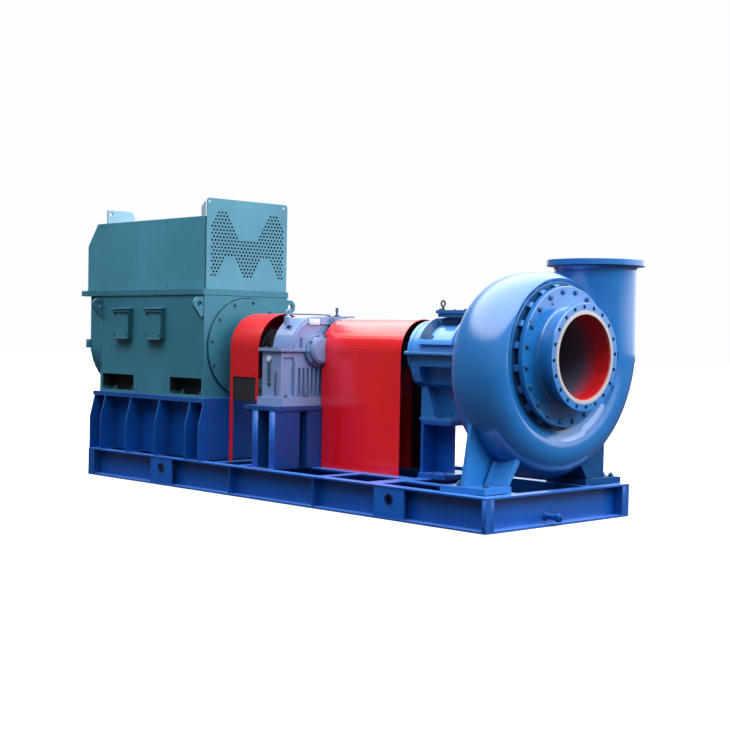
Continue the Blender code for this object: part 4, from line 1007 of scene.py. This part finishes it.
def casing_details():
    """Rim and bolts of the back plate, bolts of the gland, and foot bolts."""
    made = Maker()
    made.turn([(0, 0.43), (0, 0.452), (-0.022, 0.448), (-0.022, 0.43)], (1.87, 0, SHAFT_Z), X, 80)
    made.done("casing_rims", "pump_paint", "pump_blue")
    bolts = Maker()
    bolts.ring_of_bolts((1.87, 0.0, SHAFT_Z), -X, 0.385, 16, 0.02, 11, stud=True)
    bolts.ring_of_bolts((1.809, 0.0, SHAFT_Z), -X, 0.225, 8, 0.016, 11)
    bolts.ring_of_bolts((1.666, 0.0, SHAFT_Z), X, 0.178, 6, 0.016, 30, stud=True)
    bolts.done("casing_bolts", "pump_fastener_shaded", "pump_blue")
    feet = Maker()
    for x, y in ((2.08, -0.69), (2.3, -0.655), (2.08, 0.79), (2.25, 0.79), (2.33, 0.79)):
        feet.bolt((x, y, 0.297), Z, 0.026, True)
    feet.done("foot_bolts", "pump_fastener_shaded", "pump_blue")


# Base frame

def frame_details():
    """Weld beads, bed bolts, corner plates, pale strips as painted highlights on plate edges, black rings of
    painted shade round the lifting holes, and the drain's cap.
    """
    welds = Maker()
    weld_z = DECK + 0.0035
    for side, rib, edge in product(SIDES, (-2.283, -1.867, -1.422, -0.977), (-0.01, 0.01)):
        x, wall = rib + edge, MOTOR_Y + side * 0.355
        welds.tube([(x, wall, weld_z), (x, MOTOR_Y + side * 0.54, weld_z)], 0.004, 6)
        welds.tube([(x, wall + side * 0.002, 0.256), (x, wall + side * 0.002, 0.74)], 0.004, 6)
    for y in (-0.775, 0.37):
        welds.tube([(-0.13, y, weld_z), (0.15, y, weld_z)], 0.004, 6)
    welds.done("weld_beads", "frame_paint", "base_blue")
    bolts = Maker()
    bolts.bolts((-2.3, -1.9, -1.25, -0.88), (MOTOR_Y - 0.425, MOTOR_Y + 0.425), (0.7488,), -Z, 0.024, True)
    bolts.bolts((-0.215, 0.145), (-0.74, -0.7), (0.7288,), -Z, 0.018)
    bolts.done("bed_bolts", "frame_paint", "base_blue")
    # Pale strips on plate edges in a much lighter paint: painted highlights.
    edges, closers = Maker(), Maker()
    for x in (-0.0985, 0.1145):
        edges.block((x - 0.036, x + 0.036), (-0.7765, -0.7752), (DECK + 0.0005, 0.7285), 0.0005)
    for side in SIDES:
        edges.block((2.428, 2.463), (side * 0.8452, side * 0.8435), (0.016, 0.2355), 0.0004)
        closers.block((2.426, 2.4646), (side * 0.7948, side * 0.7552), (0.0143, 0.2357), 0.0004)
    edges.done("painted_edge_highlights", "frame_edge_highlight", "base_blue")
    closers.done("corner_closers", "frame_paint", "base_blue")
    # Thin black rings round the lifting holes: painted shade at their edges.
    rims = Maker()
    for x, side in product((-1.312, 1.52), SIDES):
        rims.turn([(0, 0.0355), (0, 0.0435), (0.0008, 0.0425), (0.0008, 0.0355)],
                  (x, side * 0.8452, 0.15), Y * side, 32)
    rims.done("lifting_hole_rims", "painted_shade_black")
    cap = Maker()
    cap.turn([(0, 0.0272), (0, 0.031), (0.03, 0.031), (0.03, 0.0272)], (2.49, -0.085, 0.062), X, 12)
    cap.turn([(0, 0), (0, 0.016), (0.016, 0.016), (0.016, 0)], (2.5255, -0.085, 0.062), X, 4, radians(45))
    cap.done("drain_cap", "frame_paint", "base_blue")


# Studio

def studio():
    """Pale floor, soft light and the camera at the photograph's angle."""
    sizes = bpy.context.scene.pump_set_sizes
    scene = bpy.context.scene
    floor = Finish("studio_floor")
    cloud = floor.noise(0.35, 2.0)
    pale = floor.mix(tint(sizes.floor, 0.985), tint(sizes.floor, 1.015), cloud)
    seen = floor.node("LightPath", None, None, "Is Camera Ray")
    floor.set(Base_Color=floor.mix(tint(sizes.floor, sizes.bounce), pale, seen), Roughness=0.9)
    floor.shader.inputs["Specular IOR Level"].default_value = 0.0
    data = bpy.data.meshes.new("studio_floor")
    far = 60.0
    data.from_pydata([(-far, -far, 0), (far, -far, 0), (far, far, 0), (-far, far, 0)], [], [(0, 1, 2, 3)])
    data.materials.append(floor.material)
    ground = bpy.data.objects.new("studio_floor", data)
    ground.location.z = -0.001
    scene.collection.objects.link(ground)

    world = bpy.data.worlds.new("studio_sky")
    world.use_nodes = True
    scene.world = world
    nodes, links = world.node_tree.nodes, world.node_tree.links
    background = nodes["Background"]
    place = nodes.new("ShaderNodeTexCoord")
    split = nodes.new("ShaderNodeSeparateXYZ")
    links.new(place.outputs["Generated"], split.inputs[0])
    height = Wire(split.outputs["Z"])
    side = Wire(split.outputs["X"])
    behind = Wire(split.outputs["Y"])
    bright = height.rise(0.5, 0.63)
    glow = side.rise(-0.2, 0.9) * sizes.horizon + behind.rise(0.15, 0.75) * sizes.backdrop + sizes.horizon
    level = glow + (sizes.sky - glow) * bright
    seen = nodes.new("ShaderNodeLightPath")
    shown = level + (1.0 - level) * Wire(seen.outputs["Is Camera Ray"])
    feed(background.inputs["Strength"], shown)
    background.inputs["Color"].default_value = (0.97, 0.985, 1.0, 1.0)

    def area(name, spot, aim, size, energy, colour=(1, 1, 1)):
        light = bpy.data.lights.new(name, "AREA")
        light.shape = "RECTANGLE"
        light.size, light.size_y = size
        light.energy = energy
        light.color = colour
        lamp = bpy.data.objects.new(name, light)
        lamp.location = spot
        lamp.rotation_euler = (Vector(aim) - Vector(spot)).to_track_quat("-Z", "Y").to_euler()
        lamp.visible_camera = False
        lamp.visible_glossy = False
        scene.collection.objects.link(lamp)

    area("key", (9.0, 1.5, 5.5), (0.3, 0.0, 1.0), (5.0, 4.0), sizes.sun * 300)
    area("overhead", (-0.5, 0.0, 7.5), (-0.5, 0.0, 0.0), (9.0, 5.0), sizes.sun * 60)

    data = bpy.data.cameras.new("photo_view")
    camera = bpy.data.objects.new("photo_view", data)
    scene.collection.objects.link(camera)
    spot = Vector((8.62, -8.099, 1.363)) + SHIFT
    yaw, pitch, roll = radians(46.82), radians(1.77), radians(1.01)
    right = Vector((cos(yaw), sin(yaw), 0))
    ahead = Vector((-sin(yaw) * cos(pitch), cos(yaw) * cos(pitch), -sin(pitch)))
    above = right.cross(ahead)
    right = right * cos(roll) + above * sin(roll)
    above = right.cross(ahead)
    turn = Matrix((right, above, -ahead)).transposed().to_4x4()
    camera.matrix_world = Matrix.Translation(spot) @ turn
    data.sensor_width = 36.0
    data.lens = 67.98
    data.shift_x = 0.0455
    data.shift_y = 0.0162
    data.clip_end = 300.0
    scene.camera = camera
    scene.view_settings.view_transform = "Standard"


# Operators and panel

class PUMPSET_OT_paint(bpy.types.Operator):
    """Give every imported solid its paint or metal, and shade the round ones smooth"""
    bl_idname = "pumpset.paint"
    bl_label = "Paint the solids"

    def execute(self, context):
        paint_solids()
        for (finish, slot), nodes in ROUND_PARTS.items():
            for node in nodes:
                rounded_copy(node, finish)
        return {"FINISHED"}


class PUMPSET_OT_grille(bpy.types.Operator):
    """Make the outlet panel of the cooler with its round holes"""
    bl_idname = "pumpset.grille"
    bl_label = "Outlet grille"

    def execute(self, context):
        if outlet_grille() < 100:
            raise RuntimeError("the grille has too few holes")
        return {"FINISHED"}


class PUMPSET_OT_cooler(bpy.types.Operator):
    """Add rivets and slats to the cooler, and bolts to its ledge"""
    bl_idname = "pumpset.cooler"
    bl_label = "Cooler fasteners"

    def execute(self, context):
        cooler_details()
        return {"FINISHED"}


class PUMPSET_OT_motor(bpy.types.Operator):
    """Add bolts, covers, seams, louvres and painted shade to the motor"""
    bl_idname = "pumpset.motor"
    bl_label = "Motor details"

    def execute(self, context):
        motor_details()
        return {"FINISHED"}


class PUMPSET_OT_guards(bpy.types.Operator):
    """Add screws and painted shade to the guards, and bolts to the couplings"""
    bl_idname = "pumpset.guards"
    bl_label = "Guard details"

    def execute(self, context):
        guard_details()
        return {"FINISHED"}


class PUMPSET_OT_gearbox(bpy.types.Operator):
    """Add bolts, ribs, pipes and the level gauge to the gearbox"""
    bl_idname = "pumpset.gearbox"
    bl_label = "Gearbox details"

    def execute(self, context):
        gearbox_details()
        return {"FINISHED"}


class PUMPSET_OT_bearing(bpy.types.Operator):
    """Add bolts and the lifting eye to the bearing frame"""
    bl_idname = "pumpset.bearing"
    bl_label = "Bearing frame details"

    def execute(self, context):
        bearing_details()
        return {"FINISHED"}


class PUMPSET_OT_volute(bpy.types.Operator):
    """Make the smooth casing with its pipe and drilled flange"""
    bl_idname = "pumpset.volute"
    bl_label = "Casing and pipe"

    def execute(self, context):
        casing_and_pipe()
        return {"FINISHED"}


class PUMPSET_OT_cover(bpy.types.Operator):
    """Make the suction cover with its bolt holes, its liner and its ring"""
    bl_idname = "pumpset.cover"
    bl_label = "Suction cover"

    def execute(self, context):
        suction_cover()
        suction_lining()
        return {"FINISHED"}


class PUMPSET_OT_cover_bolts(bpy.types.Operator):
    """Add the bolts and lugs of the suction cover"""
    bl_idname = "pumpset.cover_bolts"
    bl_label = "Cover bolts"

    def execute(self, context):
        cover_bolts()
        return {"FINISHED"}


class PUMPSET_OT_casing(bpy.types.Operator):
    """Add the back plate's rim and bolts, and the foot bolts"""
    bl_idname = "pumpset.casing"
    bl_label = "Casing details"

    def execute(self, context):
        casing_details()
        return {"FINISHED"}


class PUMPSET_OT_frame(bpy.types.Operator):
    """Add weld beads, bolts, corner plates, painted highlights and shade, and the drain cap to the base frame
    """
    bl_idname = "pumpset.frame"
    bl_label = "Base frame details"

    def execute(self, context):
        frame_details()
        return {"FINISHED"}


class PUMPSET_OT_studio(bpy.types.Operator):
    """Make the floor, the light and the camera"""
    bl_idname = "pumpset.studio"
    bl_label = "Studio"

    def execute(self, context):
        studio()
        return {"FINISHED"}


STEPS = (PUMPSET_OT_paint, PUMPSET_OT_grille, PUMPSET_OT_cooler, PUMPSET_OT_motor, PUMPSET_OT_guards,
         PUMPSET_OT_gearbox, PUMPSET_OT_bearing, PUMPSET_OT_volute, PUMPSET_OT_cover, PUMPSET_OT_cover_bolts,
         PUMPSET_OT_casing, PUMPSET_OT_frame, PUMPSET_OT_studio)


class PUMPSET_PT_panel(bpy.types.Panel):
    """Lists the sizes, colours and steps"""
    bl_idname = "PUMPSET_PT_panel"
    bl_label = "Pump set"
    bl_space_type = "VIEW_3D"
    bl_region_type = "UI"
    bl_category = "Pump set"

    def draw(self, context):
        for group in (context.scene.pump_set_paint, context.scene.pump_set_sizes):
            for name in group.__annotations__:
                self.layout.prop(group, name)
        for step in STEPS:
            self.layout.operator(step.bl_idname)


CLASSES = (PumpSetPaint, PumpSetSizes, *STEPS, PUMPSET_PT_panel)


def register():
    for item in CLASSES:
        bpy.utils.register_class(item)
    bpy.types.Scene.pump_set_paint = PointerProperty(type=PumpSetPaint)
    bpy.types.Scene.pump_set_sizes = PointerProperty(type=PumpSetSizes)


def unregister():
    del bpy.types.Scene.pump_set_sizes
    del bpy.types.Scene.pump_set_paint
    for item in reversed(CLASSES):
        bpy.utils.unregister_class(item)


def main():
    register()
    bpy.ops.pumpset.paint()
    bpy.ops.pumpset.grille()
    bpy.ops.pumpset.cooler()
    bpy.ops.pumpset.motor()
    bpy.ops.pumpset.guards()
    bpy.ops.pumpset.gearbox()
    bpy.ops.pumpset.bearing()
    bpy.ops.pumpset.volute()
    bpy.ops.pumpset.cover()
    bpy.ops.pumpset.cover_bolts()
    bpy.ops.pumpset.casing()
    bpy.ops.pumpset.frame()
    bpy.ops.pumpset.studio()


if __name__ == "__main__":
    main()
